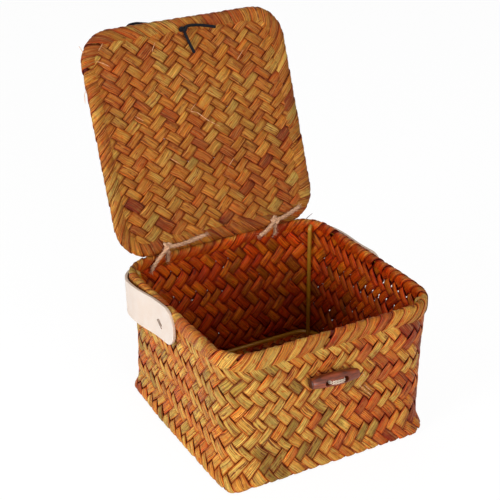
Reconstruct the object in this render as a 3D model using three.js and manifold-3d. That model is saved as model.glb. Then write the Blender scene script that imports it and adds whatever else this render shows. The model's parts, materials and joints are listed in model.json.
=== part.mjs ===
// A woven lidded box: twill-plaited leaf strips folded over wire hoops, with four corner posts,
// a lid lashed on with two twine ties, a wooden toggle, an elastic loop and two leather straps.
// Millimetres. +Z is up, the front faces -Y, and the origin is the middle of the underside.

import * as THREE from 'three';
import { mergeVertices } from 'three/addons/utils/BufferGeometryUtils.js';
import Module from 'manifold-3d';

const wasm = await Module();
wasm.setup();

// Box
const boxWidth = 200;
const boxDepth = 200;
const boxHeight = 122;
const rimCornerRadius = 30;
const baseCornerRadius = 20;
const wallThickness = 2.4;
const waistInset = 3;
const footInset = 1.2;
const footRadius = 3.6;
const footCornerRadius = 13;
const footCornerRise = 20;
const clearance = 0.3;

// The wall's side view: share of the box's height, share of the waist's inset
const wallSideShares = [[0.08, 0.44], [0.12, 0.8], [0.17, 1], [0.4, 0.94], [0.62, 0.78], [0.8, 0.62]];
// The rounded foot: share of the foot's radius inwards, share of it upwards
const footRoundShares = [[1, 0], [0.5, 0.13], [0.13, 0.5], [0, 1]];

// The fold that covers a hoop, on the rim and round the lid
const foldThickness = 5.6;
const rimFoldHeight = 12;
const lidFoldWidth = 10;
const wireDiameter = 2.6;

// Corner posts
const postDiameter = 2.8;
const postBend = 2.2;
const postRingSpacing = 24;
const postAngle = THREE.MathUtils.degToRad(38);

// Lid, as wide and as deep as the rim that it closes on
const lidOpenAngle = THREE.MathUtils.degToRad(110);

// Hinge ties
const tieOffset = 55;
const tieTwineDiameter = 2.4;
const tieKnotDiameter = 6;
const tieHoleClearance = 0.5;
const tieRimDrop = 7;
const tieLidSetback = 7;
const tieKnotSetback = 5.8;

// Elastic loop
const elasticDiameter = 2;
const elasticLegSpacing = 3.4;
const elasticSetback = 10.2;
const elasticKnotDiameter = 4.6;
const elasticOffset = -0.5;

// Toggle
const toggleLength = 46;
const toggleDiameter = 11.6;
const toggleEndDiameter = 8.2;
const toggleChamfer = 0.8;
const toggleHoleSpacing = 15.2;
const toggleHoleDiameter = 4.8;
const toggleOffset = -6.9;
const toggleHeight = 82;
const toggleDip = THREE.MathUtils.degToRad(15);
const toggleTilt = THREE.MathUtils.degToRad(4);
const toggleTwineDiameter = 2.6;
const toggleTwineSpacing = 13.2;
const toggleTwineEase = 2.2;
const toggleKnotDiameter = 5.4;

// Handles
const strapLength = 140;
const strapHeight = 33;
const strapThickness = 2.3;
const strapCornerRadius = 15;
const strapSideRun = 83;
const strapDrop = 16;
const strapTilt = THREE.MathUtils.degToRad(4.7);
const strapBow = 3.2;
const stitchInset = 27;
const stitchSpan = 9.2;
const stitchSlant = THREE.MathUtils.degToRad(40);
const stitchDrop = 2.1;
const threadDiameter = 1.2;
const stitchKnotDiameter = 2.8;

// Counts
const cornerSteps = 8;
const roundSteps = 6;
const wireSides = 8;
const threadSides = 6;
const bendSteps = 3;
const stepsPerDiameterShare = 0.6;
const easeShare = 0.49;
const latheSides = 24;
const latheRows = 10;
const ballColumns = 10;
const ballRows = 7;
const strapSteps = 22;
const strapCornerSteps = 6;

const finish = {
  weave: { color: 0xb5813c, roughness: 0.62, metalness: 0 },
  fold: { color: 0xae7636, roughness: 0.6, metalness: 0 },
  lidWeave: { color: 0xa36a33, roughness: 0.6, metalness: 0 },
  wire: { color: 0x8c7a1e, roughness: 0.45, metalness: 0.1 },
  twine: { color: 0xc09a7c, roughness: 0.95, metalness: 0 },
  elastic: { color: 0x1f1f22, roughness: 0.8, metalness: 0 },
  toggle: { color: 0x74412f, roughness: 0.42, metalness: 0 },
  leather: { color: 0xeae0d4, roughness: 0.7, metalness: 0 },
  thread: { color: 0x5d5048, roughness: 0.9, metalness: 0 },
};

const foldRadius = foldThickness / 2;
const wireRadius = wireDiameter / 2;
const slotHalf = wallThickness / 2 + clearance;
const channelRadius = Math.max(wireRadius + clearance, slotHalf);
const wallTopDrop = foldRadius + wireRadius + clearance;
const rimInset = foldRadius - wallThickness / 2;
const lidWidth = boxWidth;
const lidDepth = boxDepth;
const lidCornerRadius = rimCornerRadius;
const hinge = new THREE.Vector3(0, boxDepth / 2 - foldRadius, boxHeight + clearance + foldRadius);

const object = new THREE.Group();
const lid = new THREE.Group();
lid.position.copy(hinge);
lid.rotation.x = -lidOpenAngle;
object.add(lid);

function addPiece(parent, name, geometry, look) {
  const mesh = new THREE.Mesh(geometry, new THREE.MeshStandardMaterial(look));
  mesh.name = name;
  parent.add(mesh);
  return mesh;
}

// Booleans

function toSolid(geometry) {
  const bare = geometry.clone();
  bare.deleteAttribute('normal');
  bare.deleteAttribute('uv');
  const merged = mergeVertices(bare);
  return new wasm.Manifold(new wasm.Mesh({
    numProp: 3,
    vertProperties: new Float32Array(merged.attributes.position.array),
    triVerts: new Uint32Array(merged.index.array),
  }));
}

function toGeometry(solid) {
  const mesh = solid.getMesh();
  const geometry = new THREE.BufferGeometry();
  geometry.setAttribute('position', new THREE.BufferAttribute(mesh.vertProperties, 3));
  geometry.setIndex(new THREE.BufferAttribute(mesh.triVerts, 1));
  geometry.computeVertexNormals();
  return geometry;
}

function join(geometries) {
  return toGeometry(geometries.map(toSolid).reduce((whole, next) => whole.add(next)));
}

function cut(geometry, cutters) {
  return toGeometry(cutters.map(toSolid).reduce((left, next) => left.subtract(next), toSolid(geometry)));
}

// Lofts through rounded rectangles

function roundedRing(halfX, halfY, radius, z) {
  const points = [];
  const corners = [[1, 1], [-1, 1], [-1, -1], [1, -1]];
  corners.forEach(([sideX, sideY], quarter) => {
    for (let step = 0; step <= cornerSteps; step += 1) {
      const angle = (quarter + step / cornerSteps) * Math.PI / 2;
      points.push([
        sideX * (halfX - radius) + radius * Math.cos(angle),
        sideY * (halfY - radius) + radius * Math.sin(angle),
        z,
      ]);
    }
  });
  return points;
}

// Rings run counter-clockwise seen from above, and follow the section counter-clockwise from outside
function loft(rings, closed) {
  const count = rings[0].length;
  const triangles = [];
  const bands = closed ? rings.length : rings.length - 1;
  for (let row = 0; row < bands; row += 1) {
    const next = (row + 1) % rings.length;
    for (let i = 0; i < count; i += 1) {
      const j = (i + 1) % count;
      const [a, b] = [row * count + i, row * count + j];
      const [c, d] = [next * count + j, next * count + i];
      triangles.push(a, b, c, a, c, d);
    }
  }
  if (!closed) {
    const last = (rings.length - 1) * count;
    for (let i = 1; i < count - 1; i += 1) {
      triangles.push(0, i + 1, i, last, last + i, last + i + 1);
    }
  }
  const geometry = new THREE.BufferGeometry();
  geometry.setAttribute('position', new THREE.Float32BufferAttribute(rings.flat(2), 3));
  geometry.setIndex(triangles);
  return geometry;
}

function hoop(halfX, halfY, radius, z, section) {
  return loft(section.map(([out, up]) => roundedRing(halfX + out, halfY + out, radius + out, z + up)), true);
}

function circleSection(radius, sides) {
  return Array.from({ length: sides }, (_, i) => {
    const angle = (i + 1 / 2) * 2 * Math.PI / sides;
    return [radius * Math.cos(angle), radius * Math.sin(angle)];
  });
}

// The section of a fold: [distance in from the edge, distance across from the middle]
function foldSection(depth) {
  const section = [[depth, foldRadius]];
  for (let step = 0; step <= roundSteps; step += 1) {
    const angle = Math.PI * (step / roundSteps - 1 / 2);
    section.push([foldRadius - foldRadius * Math.cos(angle), -foldRadius * Math.sin(angle)]);
  }
  section.push([depth, -foldRadius], [depth, -slotHalf]);
  for (let step = 0; step <= roundSteps; step += 1) {
    const angle = Math.PI * (step / roundSteps - 1 / 2);
    section.push([foldRadius - channelRadius * Math.cos(angle), channelRadius * Math.sin(angle)]);
  }
  section.push([depth, slotHalf]);
  return section;
}

// Rods, tubes and balls

function rod(from, to, radius, sides = wireSides) {
  const along = new THREE.Vector3().subVectors(to, from);
  const geometry = new THREE.CylinderGeometry(radius, radius, along.length(), sides);
  const up = new THREE.Vector3(0, 1, 0);
  geometry.applyQuaternion(new THREE.Quaternion().setFromUnitVectors(up, along.clone().normalize()));
  const middle = new THREE.Vector3().addVectors(from, to).divideScalar(2);
  return geometry.translate(middle.x, middle.y, middle.z);
}

function ball(centre, radius, stretch = new THREE.Vector3(1, 1, 1)) {
  const geometry = new THREE.SphereGeometry(radius, ballColumns, ballRows);
  return geometry.scale(stretch.x, stretch.y, stretch.z).translate(centre.x, centre.y, centre.z);
}

// A route of straight runs with eased corners, whose rings fall round the corners, at the runs' ends and,
// in a run longer than the spacing, evenly between them
class EasedRoute extends THREE.Curve {
  constructor(points, ease, spacing = Infinity) {
    super();
    this.rings = [points[0]];
    for (let i = 1; i < points.length - 1; i += 1) {
      const corner = points[i];
      const before = new THREE.Vector3().subVectors(points[i - 1], corner);
      const after = new THREE.Vector3().subVectors(points[i + 1], corner);
      const reach = Math.min(ease, before.length() * easeShare, after.length() * easeShare);
      const enter = corner.clone().addScaledVector(before.normalize(), reach);
      const leave = corner.clone().addScaledVector(after.normalize(), reach);
      this.runTo(enter, spacing);
      this.rings.push(...new THREE.QuadraticBezierCurve3(enter, corner, leave).getPoints(bendSteps));
    }
    this.runTo(points[points.length - 1], spacing);
    this.rings.push(points[points.length - 1]);
    this.steps = this.rings.length - 1;
  }

  runTo(end, spacing) {
    const start = this.rings[this.rings.length - 1];
    const count = Math.ceil(start.distanceTo(end) / spacing);
    for (let step = 1; step < count; step += 1) {
      this.rings.push(start.clone().lerp(end, step / count));
    }
  }

  getPoint(t) {
    const place = t * this.steps;
    const low = Math.min(Math.floor(place), this.steps - 1);
    return this.rings[low].clone().lerp(this.rings[low + 1], place - low);
  }

  getPointAt(t) {
    return this.getPoint(t);
  }

  getTangentAt(t) {
    const ring = Math.round(t * this.steps);
    const before = this.rings[Math.max(ring - 1, 0)];
    const after = this.rings[Math.min(ring + 1, this.steps)];
    return new THREE.Vector3().subVectors(after, before).normalize();
  }
}

function sweep(route, steps, diameter, sides) {
  const section = circleSection(diameter / 2, sides).map(([x, y]) => new THREE.Vector2(x, y));
  return new THREE.ExtrudeGeometry(new THREE.Shape(section), {
    steps, bevelEnabled: false, extrudePath: route,
  });
}

function bentTube(points, ease, diameter, sides = wireSides, spacing = Infinity) {
  const route = new EasedRoute(points, ease, spacing);
  return sweep(route, route.steps, diameter, sides);
}

function looseTube(points, diameter) {
  const route = new THREE.CatmullRomCurve3(points);
  return sweep(route, Math.ceil(route.getLength() / diameter * stepsPerDiameterShare), diameter, wireSides);
}

// A lashing whose two ends meet in a knot, with any loose tails fused to it
function lashing(points, ease, diameter, knotDiameter, sides, tails = []) {
  const knot = points[0];
  const loop = bentTube([...points, knot], ease, diameter, sides);
  return join([loop, ball(knot, knotDiameter / 2), ...tails.map((tail) => looseTube([knot, ...tail], diameter))]);
}

// Places on the lid: across, in from the hinge line, and out from the lid's middle plane

function lidPoint(x, reach, out) {
  return new THREE.Vector3(x, -reach, out).applyAxisAngle(new THREE.Vector3(1, 0, 0), -lidOpenAngle).add(hinge);
}

// Walls and floor

function wallInsetAt(z) {
  const rows = [[footRadius, footInset],
    ...wallSideShares.map(([up, inward]) => [up * boxHeight, inward * waistInset]),
    [boxHeight - rimFoldHeight, rimInset]];
  const next = rows.findIndex(([level]) => level >= z);
  if (next < 0) return rimInset;
  if (next === 0) return footInset;
  const [low, high] = [rows[next - 1], rows[next]];
  return THREE.MathUtils.mapLinear(z, low[0], high[0], low[1], high[1]);
}

function wallRing(z, inward, level = z) {
  const rise = Math.min(1, z / (boxHeight - rimFoldHeight));
  const wallCornerRadius = THREE.MathUtils.lerp(baseCornerRadius, rimCornerRadius - rimInset, rise);
  const footShare = 1 - THREE.MathUtils.smoothstep(z, 0, footCornerRise);
  const cornerRadius = THREE.MathUtils.lerp(wallCornerRadius, footCornerRadius, footShare);
  const inset = wallInsetAt(z) + inward;
  return roundedRing(boxWidth / 2 - inset, boxDepth / 2 - inset, cornerRadius - inward, level);
}

function footRings(radius, inward, floor) {
  return footRoundShares.map(([sideways, up]) => (
    wallRing(footRadius, inward + sideways * radius, floor + up * radius)));
}

function woundUpLevels() {
  return [...wallSideShares.map(([up]) => up * boxHeight), boxHeight - rimFoldHeight, boxHeight - wallTopDrop];
}

function boxShell() {
  const levels = woundUpLevels();
  const innerFoot = footRadius - wallThickness;
  const outside = [...footRings(footRadius, 0, 0), ...levels.map((z) => wallRing(z, 0))];
  const inside = [...footRings(innerFoot, wallThickness, wallThickness),
    ...levels.map((z) => wallRing(z, wallThickness))];
  return loft([...outside, ...inside.reverse()], false);
}

const rimHalfX = boxWidth / 2 - foldRadius;
const rimHalfY = boxDepth / 2 - foldRadius;
const rimRadius = rimCornerRadius - foldRadius;
const rimWireHeight = boxHeight - foldRadius;

// Hinge ties

const tieHoleRadius = tieTwineDiameter / 2 + tieHoleClearance;
const tieStandOff = foldRadius + clearance + tieTwineDiameter / 2;
const tieRimHole = boxHeight - tieRimDrop;
const tieLidHole = tieLidSetback - foldRadius;
const tieSides = [['left', -1], ['right', 1]];

function tieRoute(x) {
  const inner = rimHalfY - tieStandOff;
  const outer = rimHalfY + tieStandOff;
  return [
    lidPoint(x, tieKnotSetback - foldRadius, -foldRadius - clearance - tieKnotDiameter / 2),
    new THREE.Vector3(x, inner - clearance, boxHeight),
    new THREE.Vector3(x, inner, tieRimHole),
    new THREE.Vector3(x, outer, tieRimHole),
    new THREE.Vector3(x, outer, boxHeight + clearance),
    lidPoint(x, tieLidHole, tieStandOff),
    lidPoint(x, tieLidHole, -tieStandOff),
  ];
}

// The loose tails of the two ties, a route chosen by hand
const tieTails = {
  left: [
    [[-58.5, 90.6, 127], [-63, 89.6, 123.6], [-68, 89.4, 118.5], [-71, 89.9, 114.5], [-72.4, 90.6, 111.4]],
    [[-50.5, 90.9, 129.6], [-43, 91.2, 129.2], [-34, 92, 129.6], [-25, 92.4, 130.8], [-18, 92, 132.2]],
  ],
  right: [
    [[51.5, 90.8, 127.8], [47, 89.9, 124.6], [42.5, 89.6, 121.6], [37.8, 90, 119]],
    [[60, 91, 130.8], [66, 91.6, 131.8], [73, 92.6, 133.8], [79.5, 93.2, 136.2], [84.6, 93.2, 138.8]],
  ],
};

function tieTailPoints(side) {
  return tieTails[side].map((tail) => tail.map((place) => new THREE.Vector3(...place)));
}

function tieHoles(from, to) {
  return tieSides.map(([, sign]) => rod(from(sign * tieOffset), to(sign * tieOffset), tieHoleRadius));
}

// Corner posts, each between the floor and the rim's hoop

const postRadius = postDiameter / 2;
const postCorners = [['front_left', -1, -1], ['front_right', 1, -1], ['back_left', -1, 1], ['back_right', 1, 1]];
const baseWireInward = wallThickness + clearance + wireRadius;

function cornerPoint(sideX, sideY, centre, reach, z) {
  return new THREE.Vector3(
    sideX * (centre.x + reach * Math.cos(postAngle)),
    sideY * (centre.y + reach * Math.sin(postAngle)), z);
}

function postRoute(sideX, sideY) {
  const foot = {
    x: boxWidth / 2 - footInset - baseCornerRadius,
    y: boxDepth / 2 - footInset - baseCornerRadius,
  };
  const top = { x: boxWidth / 2 - rimCornerRadius, y: boxDepth / 2 - rimCornerRadius };
  const footReach = baseCornerRadius - baseWireInward - wireRadius - clearance - postRadius;
  const topReach = rimRadius - foldRadius - clearance - postRadius;
  return [
    cornerPoint(sideX, sideY, foot, footReach, wallThickness + clearance),
    cornerPoint(sideX, sideY, top, topReach, rimWireHeight),
    cornerPoint(sideX, sideY, top, rimRadius - wireRadius - clearance, rimWireHeight),
  ];
}

function postHole(sideX, sideY) {
  const [, bend, end] = postRoute(sideX, sideY);
  return rod(bend, end, postRadius + clearance);
}

// Toggle, in a frame of its own: along X, with its holes along Y

const toggleRadius = toggleDiameter / 2;
const wallFaceAtToggle = boxDepth / 2 - wallInsetAt(toggleHeight);
const toggleReach = wallFaceAtToggle + clearance + toggleRadius;
const togglePlace = new THREE.Matrix4().compose(
  new THREE.Vector3(toggleOffset, -toggleReach, toggleHeight),
  new THREE.Quaternion().setFromEuler(new THREE.Euler(toggleDip, toggleTilt, 0, 'YXZ')),
  new THREE.Vector3(1, 1, 1));
const toggleBack = toggleRadius + clearance + (wallThickness + clearance) / Math.cos(toggleDip)
  + toggleTwineDiameter;

function toggleBarrel() {
  const half = toggleLength / 2;
  const taper = (toggleDiameter - toggleEndDiameter) / 2;
  const profile = [new THREE.Vector2(0, -half), new THREE.Vector2(toggleEndDiameter / 2 - toggleChamfer, -half)];
  for (let row = 0; row <= latheRows; row += 1) {
    const along = 2 * row / latheRows - 1;
    profile.push(new THREE.Vector2(toggleRadius - taper * along ** 2, along * (half - toggleChamfer)));
  }
  profile.push(new THREE.Vector2(toggleEndDiameter / 2 - toggleChamfer, half), new THREE.Vector2(0, half));
  const barrel = new THREE.LatheGeometry(profile, latheSides).rotateZ(-Math.PI / 2);
  const holes = [-1, 1].map((sign) => rod(
    new THREE.Vector3(sign * toggleHoleSpacing / 2, -toggleDiameter, 0),
    new THREE.Vector3(sign * toggleHoleSpacing / 2, toggleDiameter, 0), toggleHoleDiameter / 2, latheSides / 2));
  return cut(barrel, holes);
}

function toggleTwine() {
  const front = -toggleRadius - 2 * clearance - toggleTwineDiameter / 2;
  const side = toggleTwineSpacing / 2;
  const knot = toggleBack - toggleTwineDiameter / 2 + toggleKnotDiameter / 2;
  const route = [[0, knot], [side, toggleBack], [side, front], [-side, front], [-side, toggleBack]];
  return lashing(route.map(([x, y]) => new THREE.Vector3(x, y, 0)), toggleTwineEase, toggleTwineDiameter,
    toggleKnotDiameter, wireSides);
}

function toggleWallHoles() {
  return [-1, 1].map((sign) => rod(
    new THREE.Vector3(sign * toggleTwineSpacing / 2, 0, 0),
    new THREE.Vector3(sign * toggleTwineSpacing / 2, toggleBack + toggleTwineDiameter, 0),
    toggleTwineDiameter / 2 + clearance).applyMatrix4(togglePlace));
}

// Handles: a strap from the middle of each side round the back corner, held by a slanted stitch near each end

const strapSides = [['left', -1], ['right', 1]];
const strapEnds = [['front', 1], ['back', -1]];
const strapCorner = new THREE.Vector2(boxWidth / 2 - rimCornerRadius, boxDepth / 2 - rimCornerRadius);
const strapBendRadius = rimCornerRadius + clearance;

// A place round the box: level distance from the strap's front tip, height, distance out from the rim
function roundTheBox(sign, along, level, out) {
  const past = along - strapSideRun;
  const turn = THREE.MathUtils.clamp(past / strapBendRadius, 0, Math.PI / 2);
  const straight = past - turn * strapBendRadius;
  const radius = strapBendRadius + out;
  return new THREE.Vector3(
    sign * (strapCorner.x + radius * Math.cos(turn) - straight * Math.sin(turn)),
    strapCorner.y + radius * Math.sin(turn) + straight * Math.cos(turn),
    level);
}

function strapBowAt(fromTip) {
  const share = (fromTip - stitchInset) / (strapLength - 2 * stitchInset);
  return strapBow * Math.sin(Math.PI * THREE.MathUtils.clamp(share, 0, 1)) ** 2;
}

function strapLevel(fromTip) {
  return boxHeight - strapDrop - (fromTip - stitchInset) * Math.sin(strapTilt);
}

// A place on the strap: from its front tip, up from its middle line, out from its inner face
function onStrap(sign, fromTip, up, out) {
  const along = fromTip * Math.cos(strapTilt) + up * Math.sin(strapTilt);
  const level = strapLevel(fromTip) + up * Math.cos(strapTilt);
  return roundTheBox(sign, along, level, out + strapBowAt(fromTip));
}

function stitchRoute(sign, end) {
  const middle = end > 0 ? stitchInset : strapLength - stitchInset;
  const wallInside = -wallInsetAt(strapLevel(middle) - stitchDrop) - wallThickness - 2 * clearance;
  const inside = wallInside - threadDiameter / 2;
  const outside = strapThickness + 2 * clearance + threadDiameter / 2;
  const sideways = end * Math.cos(stitchSlant) * stitchSpan / 2;
  const rise = Math.sin(stitchSlant) * stitchSpan / 2;
  return [
    onStrap(sign, middle, -stitchDrop, wallInside - stitchKnotDiameter / 2),
    onStrap(sign, middle + sideways, rise - stitchDrop, inside),
    onStrap(sign, middle + sideways, rise - stitchDrop, outside),
    onStrap(sign, middle - sideways, -rise - stitchDrop, outside),
    onStrap(sign, middle - sideways, -rise - stitchDrop, inside),
  ];
}

function stitchHoles(sign, end) {
  const [, innerTop, outerTop, outerLow, innerLow] = stitchRoute(sign, end);
  const radius = threadDiameter / 2 + clearance;
  return [rod(innerTop, outerTop, radius), rod(innerLow, outerLow, radius)];
}

// Stations along the strap: distance from its front tip, half of its height there
function strapStations() {
  const rounded = Array.from({ length: strapCornerSteps + 1 }, (_, step) => {
    const angle = Math.PI / 2 * step / strapCornerSteps;
    return [strapCornerRadius * (1 - Math.cos(angle)),
      strapHeight / 2 - strapCornerRadius * (1 - Math.sin(angle))];
  });
  const run = strapLength - 2 * strapCornerRadius;
  const straight = Array.from({ length: strapSteps - 1 }, (_, step) => (
    [strapCornerRadius + run * (step + 1) / strapSteps, strapHeight / 2]));
  const far = rounded.map(([fromTip, half]) => [strapLength - fromTip, half]).reverse();
  return [...rounded, ...straight, ...far];
}

function strap(sign) {
  const rings = strapStations().map(([fromTip, half]) => {
    const corners = [[-half, 0], [half, 0], [half, strapThickness], [-half, strapThickness]];
    const ring = corners.map(([up, out]) => onStrap(sign, fromTip, up, out).toArray());
    return sign > 0 ? ring : ring.reverse();
  });
  return cut(loft(rings, false), strapEnds.flatMap(([, end]) => stitchHoles(sign, end)));
}

// Elastic loop: through the lid near its front edge, looped outside and knotted inside

const elasticRadius = elasticDiameter / 2;
const elasticReach = lidDepth - foldRadius - elasticSetback;
const elasticFace = foldRadius + clearance + elasticRadius;

// The loop's slack outside the lid, a route chosen by hand: across, in from the hinge, out
const elasticSlack = [
  [-7, 189.6, 5.6], [-17, 193.4, 6.6], [-28, 196.6, 6.8], [-38, 198.4, 6], [-46, 198.4, 5],
  [-49.6, 195.4, 4.6], [-47.6, 191.6, 4.4], [-40, 189.2, 4.4], [-29, 187, 4.6], [-17, 185, 5], [-7, 183.6, 5],
];
// The two tails on the lid's inner face: across, in from the hinge, out
const elasticTails = [
  [[0.8, 183.6, -4.8], [2.2, 178.5, -4.6], [4.3, 172, -4.2], [6.5, 166.2, -3.8]],
  [[4.6, 189, -5.2], [12, 188.8, -5], [20, 187.4, -4.8], [26.5, 185.8, -4.6], [31.6, 184.4, -4.4]],
];

function elasticLegs(out) {
  return [-1, 1].map((sign) => (
    new THREE.Vector3(elasticOffset + sign * elasticLegSpacing / 2, -elasticReach, out)));
}

function fromHinge([x, reach, out]) {
  return new THREE.Vector3(x, -reach, out);
}

function elasticLoop() {
  const [enterOutside, leaveOutside] = elasticLegs(elasticFace);
  const [enterInside, leaveInside] = elasticLegs(-elasticFace);
  const slack = elasticSlack.map(fromHinge);
  return bentTube([enterInside, enterOutside, ...slack, leaveOutside, leaveInside], elasticDiameter,
    elasticDiameter);
}

function elasticKnot() {
  const centre = new THREE.Vector3(elasticOffset, -elasticReach,
    -elasticFace - clearance - elasticKnotDiameter / 2);
  const lump = ball(centre, elasticKnotDiameter / 2, new THREE.Vector3(1, 1, 0.8));
  const tails = elasticTails.map((tail) => looseTube([centre, ...tail.map(fromHinge)], elasticDiameter));
  return join([lump, ...tails]);
}

function elasticHoles() {
  const [topLeft, topRight] = elasticLegs(foldThickness);
  const [lowLeft, lowRight] = elasticLegs(-foldThickness);
  const radius = elasticRadius + clearance;
  return [rod(lowLeft, topLeft, radius), rod(lowRight, topRight, radius)];
}

// Box pieces

const wallHoles = [
  ...tieHoles((x) => new THREE.Vector3(x, rimHalfY - foldThickness, tieRimHole),
    (x) => new THREE.Vector3(x, rimHalfY + foldThickness, tieRimHole)),
  ...toggleWallHoles(),
  ...strapSides.flatMap(([, sign]) => strapEnds.flatMap(([, end]) => stitchHoles(sign, end))),
];
addPiece(object, 'woven_box', cut(boxShell(), wallHoles), finish.weave);

const rimFold = hoop(rimHalfX, rimHalfY, rimRadius, boxHeight,
  foldSection(rimFoldHeight).map(([inward, across]) => [across, -inward]));
const rimFoldHoles = [
  ...tieHoles((x) => new THREE.Vector3(x, rimHalfY - foldThickness, tieRimHole),
    (x) => new THREE.Vector3(x, rimHalfY + foldThickness, tieRimHole)),
  ...postCorners.map(([, sideX, sideY]) => postHole(sideX, sideY)),
];
addPiece(object, 'rim_fold', cut(rimFold, rimFoldHoles), finish.fold);

const wireSection = circleSection(wireRadius, wireSides);
addPiece(object, 'rim_wire', hoop(rimHalfX, rimHalfY, rimRadius, rimWireHeight, wireSection), finish.wire);

const baseWireInset = footInset + baseWireInward;
addPiece(object, 'base_wire', hoop(boxWidth / 2 - baseWireInset, boxDepth / 2 - baseWireInset,
  baseCornerRadius - baseWireInward, baseWireInward, wireSection), finish.wire);

postCorners.forEach(([name, sideX, sideY]) => {
  const post = bentTube(postRoute(sideX, sideY), postBend, postDiameter, wireSides, postRingSpacing);
  addPiece(object, `corner_post_${name}`, post, finish.wire);
});

const toggle = addPiece(object, 'toggle', toggleBarrel(), finish.toggle);
const sewnTwine = addPiece(object, 'toggle_twine', toggleTwine(), finish.twine);
toggle.applyMatrix4(togglePlace);
sewnTwine.applyMatrix4(togglePlace);

strapSides.forEach(([side, sign]) => {
  addPiece(object, `handle_${side}`, strap(sign), finish.leather);
  strapEnds.forEach(([end, endSign]) => {
    const stitch = lashing(stitchRoute(sign, endSign), threadDiameter, threadDiameter, stitchKnotDiameter,
      threadSides);
    addPiece(object, `handle_stitch_${side}_${end}`, stitch, finish.thread);
  });
});

tieSides.forEach(([side, sign]) => {
  const tie = lashing(tieRoute(sign * tieOffset), tieTwineDiameter, tieTwineDiameter, tieKnotDiameter,
    wireSides, tieTailPoints(side));
  addPiece(object, `hinge_tie_${side}`, tie, finish.twine);
});

// Lid pieces, in the lid's own frame: the hinge line is X and the front edge is towards -Y

const lidMiddle = foldRadius - lidDepth / 2;
const lidTieHoles = tieHoles((x) => new THREE.Vector3(x, -tieLidHole, -foldThickness),
  (x) => new THREE.Vector3(x, -tieLidHole, foldThickness));
const lidHoles = [...lidTieHoles, ...elasticHoles()];

const panelInset = foldRadius + wireRadius + clearance;
const panelRing = (z) => (
  roundedRing(lidWidth / 2 - panelInset, lidDepth / 2 - panelInset, lidCornerRadius - panelInset, z));
const lidPanel = loft([panelRing(-wallThickness / 2), panelRing(wallThickness / 2)], false);
addPiece(lid, 'lid_weave', cut(lidPanel.translate(0, lidMiddle, 0), lidHoles), finish.lidWeave);

const lidFold = hoop(lidWidth / 2, lidDepth / 2, lidCornerRadius, 0,
  foldSection(lidFoldWidth).map(([inward, across]) => [-inward, -across]));
addPiece(lid, 'lid_fold', cut(lidFold.translate(0, lidMiddle, 0), lidHoles), finish.fold);

const lidWire = hoop(lidWidth / 2 - foldRadius, lidDepth / 2 - foldRadius, lidCornerRadius - foldRadius, 0,
  wireSection);
addPiece(lid, 'lid_wire', lidWire.translate(0, lidMiddle, 0), finish.wire);

addPiece(lid, 'elastic_loop', elasticLoop(), finish.elastic);
addPiece(lid, 'elastic_knot', elasticKnot(), finish.elastic);

export default object;
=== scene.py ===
# A square box plaited from dried leaf strips, with a lashed lid, a wooden toggle, an elastic loop
# and leather straps. Sizes inside the functions are in millimetres, and the finished meshes in metres.

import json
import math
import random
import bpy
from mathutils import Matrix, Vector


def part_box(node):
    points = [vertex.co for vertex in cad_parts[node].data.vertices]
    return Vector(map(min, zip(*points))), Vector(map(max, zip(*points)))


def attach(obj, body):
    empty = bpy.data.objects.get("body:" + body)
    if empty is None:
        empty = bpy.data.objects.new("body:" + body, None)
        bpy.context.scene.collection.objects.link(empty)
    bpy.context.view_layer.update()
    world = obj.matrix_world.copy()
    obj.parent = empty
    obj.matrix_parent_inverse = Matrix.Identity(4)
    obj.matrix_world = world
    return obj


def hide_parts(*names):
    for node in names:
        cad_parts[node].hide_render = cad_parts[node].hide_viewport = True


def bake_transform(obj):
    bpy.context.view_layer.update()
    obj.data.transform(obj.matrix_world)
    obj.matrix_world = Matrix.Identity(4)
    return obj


bl_info = {
    "name": "Plaited Lidded Box",
    "version": (1, 0, 0),
    "blender": (4, 5, 0),
    "location": "3D View > Sidebar > Plaited Box",
    "description": "Plaits a lidded leaf-strip box over its packed frame, piece by piece",
    "category": "Add Mesh",
}

import bpy
import numpy as np
from mathutils import Matrix, Vector

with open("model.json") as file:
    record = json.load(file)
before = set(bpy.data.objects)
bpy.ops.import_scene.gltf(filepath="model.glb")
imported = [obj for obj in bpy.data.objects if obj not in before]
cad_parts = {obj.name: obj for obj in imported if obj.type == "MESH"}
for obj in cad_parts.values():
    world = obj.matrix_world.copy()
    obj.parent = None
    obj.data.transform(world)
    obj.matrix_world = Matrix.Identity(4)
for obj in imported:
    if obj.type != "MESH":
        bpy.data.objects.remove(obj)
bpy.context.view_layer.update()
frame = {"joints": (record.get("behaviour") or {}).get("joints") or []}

MM = 0.001
TURN = 2 * math.pi

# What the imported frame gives
RIM_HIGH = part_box("rim_fold")[1]
LID_HINGE = next(joint for joint in frame["joints"] if joint["name"] == "lid_hinge")
HINGE_Y = LID_HINGE["pos_m"][1] / MM
HINGE_Z = LID_HINGE["pos_m"][2] / MM
HALF = RIM_HIGH.x / MM
BOX_TOP = RIM_HIGH.z / MM

# The open lid stands 110 degrees from closed
LID_TILT = math.radians(110)

# The lid sits a little to the right of the middle, and is a little narrower than the rim
LID_SHIFT = 1.1
LID_NARROW = 0.995

# Half the thickness of a fold, and where the hoop inside the rim's fold lies
ROLL = 2.8
ROLL_HALF = HALF - ROLL
HOOP_LEVEL = BOX_TOP - ROLL

# Radius of the rim's corners, outside and along the hoop
RIM_CORNER = 30.0
HOOP_CORNER = RIM_CORNER - ROLL

# Length of the walls once round the box
WALL_ROUND = 753.0


def screen(red, green, blue):
    """A colour as a screen shows it, 0 to 255, made linear"""
    levels = [value / 255 for value in (red, green, blue)]
    return tuple(
        level / 12.92 if level <= 0.04045 else ((level + 0.055) / 1.055) ** 2.4 for level in levels)


def colour(name, description, red, green, blue):
    return bpy.props.FloatVectorProperty(
        name=name, description=description, default=screen(red, green, blue),
        size=3, min=0.0, max=1.0, subtype="COLOR")


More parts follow.
